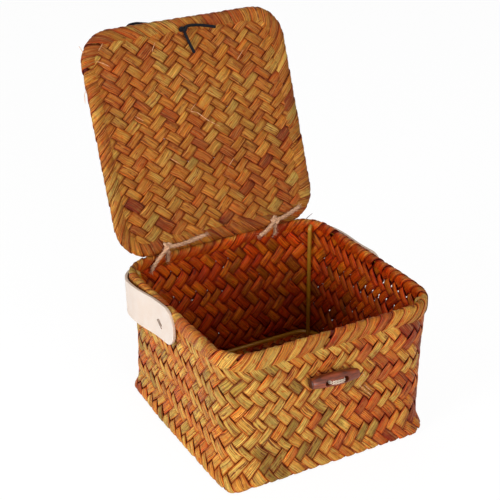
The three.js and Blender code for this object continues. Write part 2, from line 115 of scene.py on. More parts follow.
def length(name, description, default):
    return bpy.props.FloatProperty(
        name=name, description=description, default=default * MM, min=0.0, unit="LENGTH", precision=5)


def factor(name, description, default):
    return bpy.props.FloatProperty(
        name=name, description=description, default=default, min=0.0, max=1.0, subtype="FACTOR")


def integer(name, description, default, least=0):
    return bpy.props.IntProperty(name=name, description=description, default=default, min=least)


def watts(name, description, default):
    return bpy.props.FloatProperty(
        name=name, description=description, default=default, min=0.0, unit="POWER")


class StageSettings(bpy.types.PropertyGroup):
    camera_place: bpy.props.FloatVectorProperty(
        name="Camera place", description="Where the camera stands", default=(-0.46801, -0.80315, 0.59511),
        unit="LENGTH", subtype="TRANSLATION")
    camera_turn: bpy.props.FloatVectorProperty(
        name="Camera turn", description="How the camera is turned",
        default=tuple(math.radians(value) for value in (64.44365, 0.87666, -29.39562)), subtype="EULER")
    lens: bpy.props.FloatProperty(
        name="Lens", description="Focal length on a 36 mm sensor", default=88.8, min=1.0, unit="CAMERA")
    floor: colour("Floor", "Colour of the floor and the backdrop", 250, 250, 250)
    key_power: watts("Main lamp", "Power of the soft lamp on the left", 16.8)
    fill_power: watts("Second lamp", "Power of the soft lamp at the front", 15.6)
    top_power: watts("Top lamp", "Power of the soft lamp overhead", 3.5)
    sky: bpy.props.FloatProperty(
        name="Surrounding light", description="Strength of the even light from all round", default=0.31,
        min=0.0)


class LeafSettings(bpy.types.PropertyGroup):
    olive: colour("Olive leaf", "The greenest strips", 146, 114, 44)
    straw: colour("Straw leaf", "The palest strips", 202, 160, 74)
    ochre: colour("Ochre leaf", "The commonest strips", 192, 122, 40)
    orange: colour("Orange leaf", "The warmest strips", 184, 92, 28)
    russet: colour("Russet leaf", "The darkest strips", 134, 52, 20)
    # The vein colour and the veins' share also paint the shade at the strips' edges and where a strip goes
    # under another
    vein: colour("Vein", "The fine dark lines along a strip, and its cut edges", 86, 18, 6)
    # Blush is partly the strips' own tint and partly painted shade at their edges and where one dips under
    # another
    blush_and_shade: colour("Blush", "What tints a strip near its edges and where it dips", 236, 146, 66)
    # Inside is painted shade, warmed as by light bounced round inside the box
    inside: colour("Inside", "What tints the faces inside the box", 252, 168, 76)
    # The pale fibres partly stand in as painted highlights on the strips
    pale: colour("Pale fibre", "The palest lines along a strip", 232, 198, 120)
    vein_and_shade_share: factor("Veins", "How strongly the dark lines show", 0.8)
    relief: length("Relief", "How far a strip swings to each side of the middle of the weave", 1.4)
    crown: length("Crown", "How far a strip bulges between its edges", 0.26)
    thickness: length("Thickness", "Thickness of a strip", 0.72)
    gap: factor("Gap", "Share of a strip's place that stays empty", 0.015)
    width_spread: length("Width spread", "How much the strips differ in width", 1.25)
    seed: integer("Seed", "Picks the widths and tones of the strips", 7)


class WallSettings(bpy.types.PropertyGroup):
    strips: integer("Strips", "Strips that lean one way round the box, in fours", 64, 8)
    row_height: length("Row", "Height of two rows of the twill", 25.0)
    first_row: length("First row", "Height of the middle of the top row", 104.0)
    dent: length("Dent", "How far the walls wander in and out", 0.35)


class LidSettings(bpy.types.PropertyGroup):
    spacing: length("Spacing", "Distance between strips along the hinge", 12.3)
    row_height: length("Row", "Distance between strips across the hinge", 10.5)
    fold_strips: integer("Fold strips", "Strips folded round the edge of the lid", 64, 8)


class CordSettings(bpy.types.PropertyGroup):
    twine: colour("Twine", "Plant-fibre twine", 246, 204, 166)
    twine_shade: colour("Twine shade", "Between the strands of the twine", 168, 110, 72)
    pale_twine: colour("Bleached twine", "The twine that holds the toggle", 240, 224, 204)
    pale_twine_shade: colour("Bleached shade", "Between the strands of that twine", 168, 140, 118)
    elastic: colour("Elastic", "Covered elastic cord", 16, 18, 26)
    tie_diameter: length("Tie", "Diameter of the hinge ties", 2.4)
    elastic_diameter: length("Elastic", "Diameter of the elastic cord", 2.0)
    lay: length("Lay", "Length of one turn of the twine's strands", 8.0)
    hairs: integer("Hairs", "Loose hairs on each tie", 620)


class TrimSettings(bpy.types.PropertyGroup):
    wire: colour("Hoop", "Coated hoop wire", 174, 122, 16)
    toggle: colour("Toggle", "Turned hardwood", 156, 70, 34)
    toggle_dark: colour("Toggle grain", "The dark grain of the toggle", 84, 36, 20)
    strap: colour("Strap", "Leather straps", 218, 204, 193)
    strap_edge: colour("Strap edge", "Cut edges of the straps", 212, 187, 165)
    thread: colour("Thread", "Waxed stitches", 146, 110, 84)


SETTINGS = {
    "box_stage": StageSettings,
    "box_leaf": LeafSettings,
    "box_wall": WallSettings,
    "box_lid": LidSettings,
    "box_cord": CordSettings,
    "box_trim": TrimSettings,
}


# Places on the box and its lid


def bend_in(part):
    """Smoothly from 0 to 1"""
    part = np.clip(part, 0, 1)
    return part * part * (3 - 2 * part)


def lid_point(x, reach, out):
    """Across, in from the hinge line and out from the middle of the lid, as the lid stands open"""
    cosine = math.cos(LID_TILT)
    sine = math.sin(LID_TILT)
    y = HINGE_Y - reach * cosine + out * sine
    z = HINGE_Z + reach * sine + out * cosine
    return np.stack(np.broadcast_arrays(x, y, z), axis=-1)


def round_square(half, radius, turn):
    """Points round a square with rounded corners, from the middle of the front (turn 0) towards +X"""
    eighths = np.mod(turn, 1.0) * 8
    side = np.floor((eighths + 1) / 2)
    straight = half - radius
    run = (eighths - 2 * side) * (straight + radius * math.pi / 4)
    bend = np.sign(run) * np.maximum(np.abs(run) - straight, 0) / radius
    across = np.clip(run, -straight, straight) + radius * np.sin(bend)
    back = -(straight + radius * np.cos(bend))
    cosine = np.cos(side * TURN / 4)
    sine = np.sin(side * TURN / 4)
    return across * cosine - back * sine, across * sine + back * cosine


def hoop_length(half, radius):
    """Distance once round a square with rounded corners"""
    return 8 * (half - radius) + TURN * radius


def measured(points):
    """Points along a line, and the distance of each from the first"""
    points = np.array(points, float)
    steps = np.linalg.norm(np.diff(points, axis=0), axis=1)
    return points, np.concatenate([[0], np.cumsum(steps)])


def evenly(points, spacing):
    """The same line with its points set evenly, about one spacing apart"""
    points, along = measured(points)
    count = max(2, int(math.ceil(along[-1] / spacing)) + 1)
    places = np.linspace(0, along[-1], count)
    return np.stack([np.interp(places, along, points[:, axis]) for axis in range(points.shape[1])], axis=1)


def eased(points, ease, spacing):
    """A line of straight runs whose corners are eased"""
    points = [np.array(point, float) for point in points]
    under_half = 0.49
    made = [points[0]]
    for before, corner, after in zip(points, points[1:], points[2:]):
        back = before - corner
        ahead = after - corner
        reach = min(ease, np.linalg.norm(back) * under_half, np.linalg.norm(ahead) * under_half)
        enter = corner + back / np.linalg.norm(back) * reach
        leave = corner + ahead / np.linalg.norm(ahead) * reach
        for step in np.linspace(0, 1, 9):
            made.append(enter * (1 - step) ** 2 + 2 * corner * step * (1 - step) + leave * step ** 2)
    made.append(points[-1])
    return evenly(made, spacing)


def curved(points, spacing):
    """A smooth line through all the points"""
    points = np.array(points, float)
    padded = np.vstack([2 * points[0] - points[1], points, 2 * points[-1] - points[-2]])
    made = []
    for a, b, c, d in zip(padded, padded[1:], padded[2:], padded[3:]):
        for t in np.linspace(0, 1, 12, endpoint=False):
            made.append(0.5 * (2 * b + (c - a) * t + (2 * a - 5 * b + 4 * c - d) * t ** 2
                               + (3 * b - a - 3 * c + d) * t ** 3))
    made.append(points[-1])
    return evenly(made, spacing)


def axes_along(points, closed=False):
    """Two directions across a line at each of its points, which don't twist"""
    if closed:
        ahead = np.roll(points, -1, axis=0) - np.roll(points, 1, axis=0)
    else:
        ahead = np.gradient(points, axis=0)
    ahead /= np.linalg.norm(ahead, axis=1)[:, None]
    first = np.cross(ahead[0], [0.0, 0.0, 1.0])
    if np.linalg.norm(first) < 0.2:
        first = np.cross(ahead[0], [0.0, 1.0, 0.0])
    side = [first / np.linalg.norm(first)]
    for direction in ahead[1:]:
        kept = side[-1] - direction * np.dot(side[-1], direction)
        side.append(kept / np.linalg.norm(kept))
    side = np.array(side)
    return side, np.cross(ahead, side)


# Meshes


class Gathered:
    """Points, faces and marks of many small solids, gathered into one mesh"""

    def __init__(self):
        self.points = []
        self.faces = []
        self.marks = {}
        self.total = 0

    def add(self, points, faces, **marks):
        self.points.append(points)
        self.faces.extend([tuple(index + self.total for index in face) for face in faces])
        for name, values in marks.items():
            values = np.broadcast_to(np.array(values, float), (len(points),) + np.shape(values)[1:])
            self.marks.setdefault(name, []).append(values)
        self.total += len(points)

    def piece(self, name, material):
        """The gathered solids as one object in metres, their faces outwards"""
        points = np.concatenate(self.points)
        faces = self.faces
        if signed_volume(points, faces) < 0:
            faces = [face[::-1] for face in faces]
        mesh = bpy.data.meshes.new(name)
        mesh.from_pydata(points * MM, [], faces)
        loops = np.zeros(len(mesh.loops), np.int32)
        mesh.loops.foreach_get("vertex_index", loops)
        for mark, values in self.marks.items():
            values = np.concatenate(values)
            if mark == "strip":
                layer = mesh.uv_layers.new(name=mark)
                layer.data.foreach_set("uv", values[loops].astype(np.float32).ravel())
            else:
                layer = mesh.attributes.new(mark, "FLOAT", "POINT")
                layer.data.foreach_set("value", values.astype(np.float32))
        mesh.polygons.foreach_set("use_smooth", np.ones(len(mesh.polygons), bool))
        mesh.update()
        made = bpy.data.objects.new(name, mesh)
        bpy.context.scene.collection.objects.link(made)
        mesh.materials.append(material)
        return made


def signed_volume(points, faces):
    """Six times the volume that the four-sided faces close, less than 0 where they face inwards"""
    quads = np.array([face for face in faces if len(face) == 4])
    total = 0.0
    for corners in ((0, 1, 2), (0, 2, 3)):
        a, b, c = (points[quads[:, corner]] for corner in corners)
        total += np.einsum("ij,ij->i", a, np.cross(b, c)).sum()
    return total


def ring_faces(rings, sides, closed=False):
    """Faces between rings of points, with a cap at each end of a line that isn't closed"""
    faces = []
    for ring in range(rings if closed else rings - 1):
        base = ring * sides
        above = ((ring + 1) % rings) * sides
        for side in range(sides):
            beside = (side + 1) % sides
            faces.append((base + side, above + side, above + beside, base + beside))
    if not closed:
        faces.append(tuple(range(sides)))
        faces.append(tuple(range(rings * sides - 1, (rings - 1) * sides - 1, -1)))
    return faces


def add_tube(gathered, points, radius, sides=8, closed=False, **marks):
    """A round tube along a line. radius is one size, or one for each point"""
    points = np.asarray(points, float)
    side, up = axes_along(points, closed)
    radius = np.broadcast_to(np.asarray(radius, float), len(points))[:, None, None]
    spin = np.arange(sides) * TURN / sides
    ring = side[:, None, :] * np.cos(spin)[None, :, None] + up[:, None, :] * np.sin(spin)[None, :, None]
    solid = (points[:, None, :] + ring * radius).reshape(-1, 3)
    along = measured(points)[1]
    strip = np.stack(np.meshgrid(along, spin / TURN, indexing="ij"), axis=-1).reshape(-1, 2)
    gathered.add(solid, ring_faces(len(points), sides, closed), strip=strip, **marks)


def deselect():
    if bpy.context.object and bpy.context.object.mode != "OBJECT":
        bpy.ops.object.mode_set(mode="OBJECT")
    for item in bpy.context.selected_objects:
        item.select_set(False)


def pick(item):
    deselect()
    item.select_set(True)
    bpy.context.view_layer.objects.active = item


def settle(item):
    """Puts an object's place, turn and size into its mesh"""
    pick(item)
    bpy.ops.object.transform_apply(location=True, rotation=True, scale=True)


def soften_edges(item, width, angle):
    """Rounds the edges that turn by more than an angle, in degrees"""
    soften = item.modifiers.new("soften", "BEVEL")
    soften.width = width * MM
    soften.segments = 3
    soften.angle_limit = math.radians(angle)


def apply_all(item):
    pick(item)
    for modifier in list(item.modifiers):
        bpy.ops.object.modifier_apply(modifier=modifier.name)


def seat(item, body, slot, *nodes):
    """The piece rides on its body and stands for the nodes, which it hides. slot is not used"""
    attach(item, body)
    if nodes:
        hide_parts(*nodes)


# Materials


class Graph:
    """Adds nodes to a node tree, with their inputs set or linked at once"""

    def __init__(self, tree):
        self.tree = tree

    def node(self, kind, inputs=None, **settings):
        made = self.tree.nodes.new(kind)
        for name, value in settings.items():
            setattr(made, name, value)
        self.feed_all(made, inputs or {})
        return made

    def feed_all(self, node, inputs):
        for name, value in inputs.items():
            self.feed(node.inputs[name], value)

    def feed(self, socket, value):
        if isinstance(value, bpy.types.NodeSocket):
            self.tree.links.new(value, socket)
        elif hasattr(value, "__len__") and len(value) == 3 and len(socket.default_value) == 4:
            socket.default_value = (*value, 1.0)
        else:
            socket.default_value = value

    def maths(self, operation, first, second=0.0, clamp=False):
        node = self.node("ShaderNodeMath", {0: first, 1: second}, operation=operation, use_clamp=clamp)
        return node.outputs[0]

    def fit(self, value, low, high, low_out=0.0, high_out=1.0, smooth=True):
        node = self.node(
            "ShaderNodeMapRange",
            {"Value": value, "From Min": low, "From Max": high, "To Min": low_out, "To Max": high_out},
            interpolation_type="SMOOTHSTEP" if smooth else "LINEAR")
        return node.outputs["Result"]

    def vector(self, x, y, z):
        return self.node("ShaderNodeCombineXYZ", {"X": x, "Y": y, "Z": z}).outputs[0]

    def split(self, vector):
        return self.node("ShaderNodeSeparateXYZ", {0: vector}).outputs

    def stretch(self, vector, scale):
        return self.node("ShaderNodeMapping", {"Vector": vector, "Scale": scale}).outputs[0]

    def noise(self, vector, scale, detail=2.0, roughness=0.5):
        node = self.node(
            "ShaderNodeTexNoise",
            {"Vector": vector, "Scale": scale, "Detail": detail, "Roughness": roughness})
        return node.outputs["Fac"]

    def mix(self, factor, first, second, mode="MIX"):
        node = self.node(
            "ShaderNodeMix", {0: factor, 6: first, 7: second}, data_type="RGBA", blend_type=mode)
        return node.outputs[2]

    def ramp(self, value, stops):
        node = self.node("ShaderNodeValToRGB", {0: value})
        while len(node.color_ramp.elements) < len(stops):
            node.color_ramp.elements.new(0.5)
        for element, (place, tint) in zip(node.color_ramp.elements, stops):
            element.position = place
            element.color = (*tint, 1.0)
        return node.outputs[0]

    def mark(self, name):
        return self.node("ShaderNodeAttribute", attribute_name=name).outputs["Fac"]

    def strip_map(self):
        return self.node("ShaderNodeUVMap", uv_map="strip").outputs[0]


def new_group(name, sockets_in, sockets_out):
    """A node group with named sockets: (name, kind, default) in, (name, kind) out"""
    kinds = {"value": "NodeSocketFloat", "colour": "NodeSocketColor", "vector": "NodeSocketVector"}
    tree = bpy.data.node_groups.new(name, "ShaderNodeTree")
    for socket_name, kind, default in sockets_in:
        socket = tree.interface.new_socket(name=socket_name, in_out="INPUT", socket_type=kinds[kind])
        if kind == "colour":
            socket.default_value = (*default, 1.0)
        elif kind == "value":
            socket.default_value = default
    for socket_name, kind in sockets_out:
        tree.interface.new_socket(name=socket_name, in_out="OUTPUT", socket_type=kinds[kind])
    graph = Graph(tree)
    return graph, graph.node("NodeGroupInput").outputs, graph.node("NodeGroupOutput").inputs


def use_group(graph, name, inputs):
    node = graph.node("ShaderNodeGroup", inputs, node_tree=bpy.data.node_groups[name])
    return node.outputs


def new_material(name):
    material = bpy.data.materials.new(name)
    material.use_nodes = True
    graph = Graph(material.node_tree)
    return material, graph, material.node_tree.nodes["Principled BSDF"]


def bump(graph, shader, height, strength, distance):
    """Relief in the shader's normal, at most distance millimetres deep"""
    node = graph.node("ShaderNodeBump", {"Height": height, "Strength": strength, "Distance": distance * MM})
    graph.feed(shader.inputs["Normal"], node.outputs[0])


def make_leaf_group():
    """The tint, gloss and grain of dried leaf, with painted shade and painted highlights. Strip is
    millimetres along and across, Edge is -1 to 1
    """
    leaf = bpy.context.scene.box_leaf
    sockets_in = [
        ("Strip", "vector", None), ("Tone", "value", 0.4), ("Shade", "value", 1.0), ("Seed", "value", 0.0),
        ("Edge", "value", 0.0), ("Dip", "value", 0.0), ("Inner", "value", 0.0), ("Outline", "value", 0.55),
        ("Veins", "value", leaf.vein_and_shade_share), ("Blush", "value", 1.0), ("Spread", "value", 0.17),
        ("Vein tint", "colour", leaf.vein), ("Blush tint", "colour", leaf.blush_and_shade),
        ("Inside tint", "colour", leaf.inside), ("Pale tint", "colour", leaf.pale),
    ]
    graph, given, result = new_group(
        "leaf_grain", sockets_in, [("Colour", "colour"), ("Roughness", "value"), ("Height", "value")])

    # Each strip has its own slice of every noise, and its ribs wander a little from side to side
    slices_apart = 83.0
    along, across, _ = graph.split(given["Strip"])
    own_slice = graph.maths("MULTIPLY", given["Seed"], slices_apart)
    place = graph.vector(along, across, own_slice)
    wander = graph.noise(graph.stretch(place, (0.07, 0.1, 1.0)), 1.0, 1.0)
    bent = graph.maths("ADD", across, graph.fit(wander, 0.3, 0.7, -0.7, 0.7, False))
    ribbed = graph.vector(along, bent, own_slice)
    rib = graph.noise(graph.stretch(ribbed, (0.014, 1.0, 1.0)), 1.0, 2.0, 0.6)
    fibre = graph.noise(graph.stretch(ribbed, (0.05, 1.7, 1.0)), 1.0, 3.0, 0.65)
    blotch = graph.noise(graph.stretch(place, (0.22, 0.35, 1.0)), 1.0, 3.0)

    # The tone drifts slowly along a strip
    slow = graph.noise(graph.stretch(place, (0.035, 0.16, 1.0)), 1.0, 2.0)
    drift = graph.maths("MULTIPLY", graph.fit(slow, 0.25, 0.75, -1.0, 1.0, False), given["Spread"])
    tint = graph.ramp(graph.maths("ADD", given["Tone"], drift, clamp=True), [
        (0.0, leaf.olive), (0.2, leaf.straw), (0.48, leaf.ochre), (0.74, leaf.orange), (1.0, leaf.russet)])

    # Fibres, ribs and blotches lighten and darken it
    value = given["Shade"]
    for noise, low, high, darkest, lightest in (
            (fibre, 0.32, 0.68, 0.62, 1.38), (rib, 0.34, 0.66, 0.64, 1.36),
            (blotch, 0.25, 0.75, 0.86, 1.12)):
        value = graph.maths("MULTIPLY", value, graph.fit(noise, low, high, darkest, lightest, False))
    tint = graph.mix(1.0, tint, graph.vector(value, value, value), "MULTIPLY")

    # A blush in blotches and near the edges, partly the leaf's own and partly painted shade in the gaps at
    # the edges and where the strip dips
    beside = graph.maths("ABSOLUTE", given["Edge"])
    near = graph.maths("MAXIMUM", graph.fit(beside, 0.55, 1.0), given["Dip"])
    near = graph.maths("MAXIMUM", near, graph.fit(blotch, 0.5, 0.7, 0.0, 0.8))
    tint = graph.mix(graph.maths("MULTIPLY", near, given["Blush"]), tint, given["Blush tint"], "MULTIPLY")

    # Pale fibres, which partly stand in as painted highlights, and then the painted shade of the inside of
    # the box
    sheen = graph.noise(graph.stretch(ribbed, (0.04, 3.2, 3.0)), 1.0, 2.0, 0.5)
    pale_and_painted_highlight = graph.maths("MAXIMUM", graph.fit(sheen, 0.55, 0.68), graph.fit(rib, 0.57, 0.68, 0.0, 0.7))
    tint = graph.mix(graph.maths("MULTIPLY", pale_and_painted_highlight, 0.3), tint, given["Pale tint"])
    # Faces that look into the box get painted shade, warmed as by bounced light
    tint = graph.mix(given["Inner"], tint, given["Inside tint"], "MULTIPLY")

    # Dark veins along the strip, and painted shade at its edges, in the gaps between strips, and where it
    # goes under another. The darker edges are partly the leaf's own cut edges
    coarse = graph.noise(graph.stretch(ribbed, (0.015, 1.15, 1.0)), 1.0, 1.0, 0.4)
    fine = graph.noise(graph.stretch(ribbed, (0.02, 2.8, 1.0)), 1.0, 2.0, 0.5)
    veins = graph.maths("MAXIMUM", graph.fit(coarse, 0.57, 0.64), graph.fit(fine, 0.55, 0.65, 0.0, 0.8))
    line = graph.maths("MULTIPLY", veins, graph.fit(blotch, 0.38, 0.54, 0.45, 1.0))
    outline = graph.maths("MULTIPLY", graph.fit(beside, 0.9, 1.0), given["Outline"])
    rim = graph.maths("MAXIMUM", outline, graph.fit(given["Dip"], 0.55, 0.95))
    dark = graph.maths("MULTIPLY", graph.maths("MAXIMUM", line, rim), given["Veins"])
    graph.feed(result["Colour"], graph.mix(dark, tint, given["Vein tint"]))

    graph.feed(result["Roughness"], graph.fit(fibre, 0.3, 0.7, 0.42, 0.62, False))
    raised = graph.maths("ADD", graph.maths("MULTIPLY", fibre, 0.7), rib)
    graph.feed(result["Height"], graph.maths("SUBTRACT", raised, graph.maths("MULTIPLY", line, 0.5)))


def make_fleck_group():
    """Fine flecks and slow clouds on Object coordinates, for leather and coated wire"""
    sockets_in = [
        ("Place", "vector", None), ("Grain", "value", 900.0), ("Cloud", "value", 60.0),
        ("Depth", "value", 0.1), ("Tint", "colour", (0.5, 0.5, 0.5)),
        ("Shade tint", "colour", (0.2, 0.2, 0.2)),
    ]
    graph, given, result = new_group(
        "fine_flecks", sockets_in, [("Colour", "colour"), ("Mask", "value"), ("Height", "value")])
    grain = graph.noise(given["Place"], given["Grain"], 3.0, 0.6)
    cloud = graph.noise(given["Place"], given["Cloud"], 3.0, 0.55)
    mask = graph.fit(graph.maths("MULTIPLY", graph.maths("ADD", grain, cloud), 0.5), 0.36, 0.64)
    share_dark = graph.maths("MULTIPLY", mask, given["Depth"])
    graph.feed(result["Colour"], graph.mix(share_dark, given["Tint"], given["Shade tint"]))
    graph.feed(result["Mask"], mask)
    graph.feed(result["Height"], grain)


def leaf_material(name, tone_shift=0.0, shade=1.0, veins=1.0, blush_and_shade=1.0, spread=0.17, outline=0.55):
    """Dried leaf. veins is a share of the veins' own strength and of the painted shade at the strips' edges
    and dips, and outline darkens the strips' edges, partly as their own cut edges and partly as painted
    shade in the gaps
    """
    material, graph, shader = new_material(name)
    leaf = use_group(graph, "leaf_grain", {
        "Strip": graph.strip_map(), "Tone": graph.maths("ADD", graph.mark("tone"), tone_shift),
        "Shade": graph.maths("MULTIPLY", graph.mark("shade"), shade),
        "Seed": graph.mark("seed"), "Edge": graph.mark("edge"), "Dip": graph.mark("dip"),
        "Inner": graph.mark("inner"), "Outline": outline, "Blush": blush_and_shade, "Spread": spread,
        "Veins": bpy.context.scene.box_leaf.vein_and_shade_share * veins})
    graph.feed_all(shader, {
        "Base Color": leaf["Colour"], "Roughness": leaf["Roughness"], "Specular IOR Level": 0.14})
    bump(graph, shader, leaf["Height"], 0.8, 0.6)
    return material


def twine_material(name, tint, shade_tint):
    """Hairy twine, its fibres twisted round the strand"""
    material, graph, shader = new_material(name)
    along, around, _ = graph.split(graph.strip_map())
    twist = graph.maths("ADD", graph.maths("MULTIPLY", along, 0.22), around)
    place = graph.vector(graph.maths("MULTIPLY", along, 0.4), graph.maths("MULTIPLY", twist, 9.0), 0.0)
    fibre = graph.noise(place, 1.6, 3.0, 0.6)
    graph.feed_all(shader, {
        "Base Color": graph.mix(graph.fit(fibre, 0.32, 0.66), shade_tint, tint),
        "Roughness": 0.92, "Specular IOR Level": 0.2, "Sheen Weight": 0.25})
    bump(graph, shader, fibre, 0.7, 0.3)
    return material


def elastic_material():
    """A braided cover: two sets of fine ridges that cross, with painted shade in the grooves between them
    """
    material, graph, shader = new_material("covered_elastic")
    along, around, _ = graph.split(graph.strip_map())
    along = graph.maths("MULTIPLY", along, 1.1)
    around = graph.maths("MULTIPLY", around, 4.0)
    ridges = []
    for way in ("ADD", "SUBTRACT"):
        slant = graph.maths("MULTIPLY", graph.maths(way, along, around), math.pi)
        ridges.append(graph.maths("ABSOLUTE", graph.maths("SINE", slant)))
    braid = graph.maths("MAXIMUM", *ridges)
    # between is the painted shade in the grooves of the braid
    between = (0.004, 0.004, 0.005)
    graph.feed_all(shader, {
        "Base Color": graph.mix(graph.fit(braid, 0.4, 1.0), between, bpy.context.scene.box_cord.elastic),
        "Roughness": 0.7, "Specular IOR Level": 0.15})
    bump(graph, shader, braid, 0.6, 0.2)
    return material


def scaled(tint, scale):
    return tuple(value * scale for value in tint)


def wire_material(name, lift=1.0):
    """Coated wire. lift lightens it as painted light, for the hoop that stands in the box's own shade"""
    wire = bpy.context.scene.box_trim.wire
    material, graph, shader = new_material(name)
    flecks = use_group(graph, "fine_flecks", {
        "Place": graph.node("ShaderNodeTexCoord").outputs["Object"], "Grain": 700.0, "Cloud": 55.0,
        "Depth": 0.55, "Tint": tuple(min(1.0, value) for value in scaled(wire, lift)),
        "Shade tint": scaled(wire, 0.45 * lift)})
    graph.feed_all(shader, {
        "Base Color": flecks["Colour"], "Coat Weight": 0.15,
        "Roughness": graph.fit(flecks["Mask"], 0.0, 1.0, 0.34, 0.55, False)})
    bump(graph, shader, flecks["Height"], 0.25, 0.1)
    return material


def toggle_material():
    """Polished hardwood, with dark grain and pores along it and darker end grain"""
    trim = bpy.context.scene.box_trim
    material, graph, shader = new_material("turned_wood")
    along, across, around = graph.split(graph.strip_map())
    place = graph.vector(graph.maths("MULTIPLY", along, 0.05), graph.maths("MULTIPLY", across, 1.5), around)
    ring = graph.noise(place, 1.0, 4.0, 0.6)
    pore = graph.noise(graph.stretch(place, (1.6, 5.0, 1.0)), 1.6, 2.0)
    tint = graph.mix(graph.fit(ring, 0.34, 0.68), trim.toggle_dark, trim.toggle)
    tint = graph.mix(graph.fit(pore, 0.56, 0.68, 0.0, 0.6), tint, trim.toggle_dark)
    end_grain = graph.fit(graph.mark("end"), 0.2, 0.9, 0.0, 0.8)
    graph.feed_all(shader, {
        "Base Color": graph.mix(end_grain, tint, scaled(trim.toggle_dark, 0.35)),
        "Roughness": graph.fit(ring, 0.3, 0.7, 0.34, 0.5, False),
        "Specular IOR Level": 0.35, "Coat Weight": 0.22, "Coat Roughness": 0.2})
    bump(graph, shader, pore, 0.3, 0.1)
    return material


def strap_material():
    """Matt leather with fine pores and darker cut edges"""
    trim = bpy.context.scene.box_trim
    material, graph, shader = new_material("cream_leather")
    place = graph.node("ShaderNodeTexCoord").outputs["Object"]
    flecks = use_group(graph, "fine_flecks", {
        "Place": place, "Grain": 1400.0, "Cloud": 90.0, "Depth": 0.35, "Tint": trim.strap,
        "Shade tint": trim.strap_edge})
    cut_edge = graph.maths("MULTIPLY", graph.fit(graph.mark("edge"), 0.3, 0.9), 0.8)
    graph.feed_all(shader, {
        "Base Color": graph.mix(cut_edge, flecks["Colour"], trim.strap_edge),
        "Roughness": graph.fit(flecks["Mask"], 0.0, 1.0, 0.5, 0.68, False)})
    pores = graph.node("ShaderNodeTexVoronoi", {"Vector": place, "Scale": 1500.0}).outputs["Distance"]
    bump(graph, shader, pores, 0.22, 0.12)
    return material


def thread_material():
    """Waxed thread, its plies twisted, with painted shade in the grooves between the plies"""
    thread = bpy.context.scene.box_trim.thread
    material, graph, shader = new_material("waxed_thread")
    along, around, _ = graph.split(graph.strip_map())
    turns = graph.maths("ADD", graph.maths("MULTIPLY", along, 0.9), around)
    twist = graph.maths("SINE", graph.maths("MULTIPLY", turns, TURN))
    graph.feed_all(shader, {
        "Base Color": graph.mix(graph.fit(twist, -1.0, 1.0), scaled(thread, 0.4), thread),
        "Roughness": 0.7, "Specular IOR Level": 0.15})
    bump(graph, shader, twist, 0.4, 0.2)
    return material


def splinter_material():
    """Raw fibre, paler than the strip it has sprung from"""
    leaf = bpy.context.scene.box_leaf
    material, graph, shader = new_material("raw_fibre")
    grain = graph.noise(graph.stretch(graph.strip_map(), (0.5, 3.0, 1.0)), 1.0, 2.0)
    pale = (0.9, 0.62, 0.34)
    graph.feed_all(shader, {
        "Base Color": graph.mix(graph.fit(grain, 0.35, 0.65), leaf.orange, pale), "Roughness": 0.5})
    bump(graph, shader, grain, 0.3, 0.1)
    return material


# Stage


def seen_directly(graph):
    """1 for what the camera, metal and glass show of the backdrop, 0 for the light on the object"""
    path = graph.node("ShaderNodeLightPath").outputs
    mirrored = graph.maths("MAXIMUM", path["Is Glossy Ray"], path["Is Transmission Ray"])
    return graph.maths("MAXIMUM", path["Is Camera Ray"], mirrored)


class PrepareStage(bpy.types.Operator):
    """Set up the camera, the pale floor and the soft lamps"""

    bl_idname = "plaited_box.stage"
    bl_label = "Stage"

    # Where the lamps point, about the middle of the box
    aimed_at = Vector((0.0, 0.0, 0.1))

    def execute(self, context):
        stage = context.scene.box_stage
        self.add_camera(context.scene, stage)
        self.add_floor(stage)
        self.add_lamp("key_lamp", place=(-1.5, -0.35, 0.4), size=0.6, power=stage.key_power)
        self.add_lamp("fill_lamp", place=(-0.1, -1.75, 0.62), size=0.9, power=stage.fill_power)
        self.add_lamp("top_lamp", place=(0.2, 0.5, 1.6), size=1.4, power=stage.top_power)
        self.add_sky(context.scene, stage)
        context.scene.view_settings.view_transform = "Standard"
        make_leaf_group()
        make_fleck_group()
        return {"FINISHED"}

    def add_camera(self, scene, stage):
        data = bpy.data.cameras.new("photo_camera")
        data.sensor_width = 36.0
        data.lens = stage.lens
        data.clip_start = 0.05
        data.clip_end = 20.0
        camera = bpy.data.objects.new("photo_camera", data)
        camera.location = stage.camera_place
        camera.rotation_euler = stage.camera_turn
        scene.collection.objects.link(camera)
        scene.camera = camera

    def add_floor(self, stage):
        deselect()
        bpy.ops.mesh.primitive_plane_add(size=8.0, location=(0.0, 0.0, 0.0))
        floor = bpy.context.object
        floor.name = "studio_floor"
        material, graph, shader = new_material("studio_floor")
        graph.feed_all(shader, {"Base Color": stage.floor, "Roughness": 0.9})
        glow = graph.node("ShaderNodeEmission", {"Color": (1.0, 1.0, 1.0), "Strength": 1.04})
        share_glow = graph.maths("MULTIPLY", seen_directly(graph), 0.9)
        both = graph.node("ShaderNodeMixShader", {0: share_glow, 1: shader.outputs[0], 2: glow.outputs[0]})
        output = material.node_tree.nodes["Material Output"]
        graph.feed(output.inputs["Surface"], both.outputs[0])
        floor.data.materials.append(material)

    def add_lamp(self, name, place, size, power):
        data = bpy.data.lights.new(name, "AREA")
        data.shape = "DISK"
        data.size = size
        data.energy = power
        lamp = bpy.data.objects.new(name, data)
        lamp.location = place
        aim = self.aimed_at - lamp.location
        lamp.rotation_euler = aim.to_track_quat("-Z", "Y").to_euler()
        bpy.context.scene.collection.objects.link(lamp)

    def add_sky(self, scene, stage):
        world = bpy.data.worlds.new("studio_world")
        world.use_nodes = True
        scene.world = world
        graph = Graph(world.node_tree)
        background = world.node_tree.nodes["Background"]
        strength = graph.fit(seen_directly(graph), 0.0, 1.0, stage.sky, 1.0, False)
        graph.feed_all(background, {"Color": (1.0, 1.0, 1.0), "Strength": strength})


# Ties and elastic


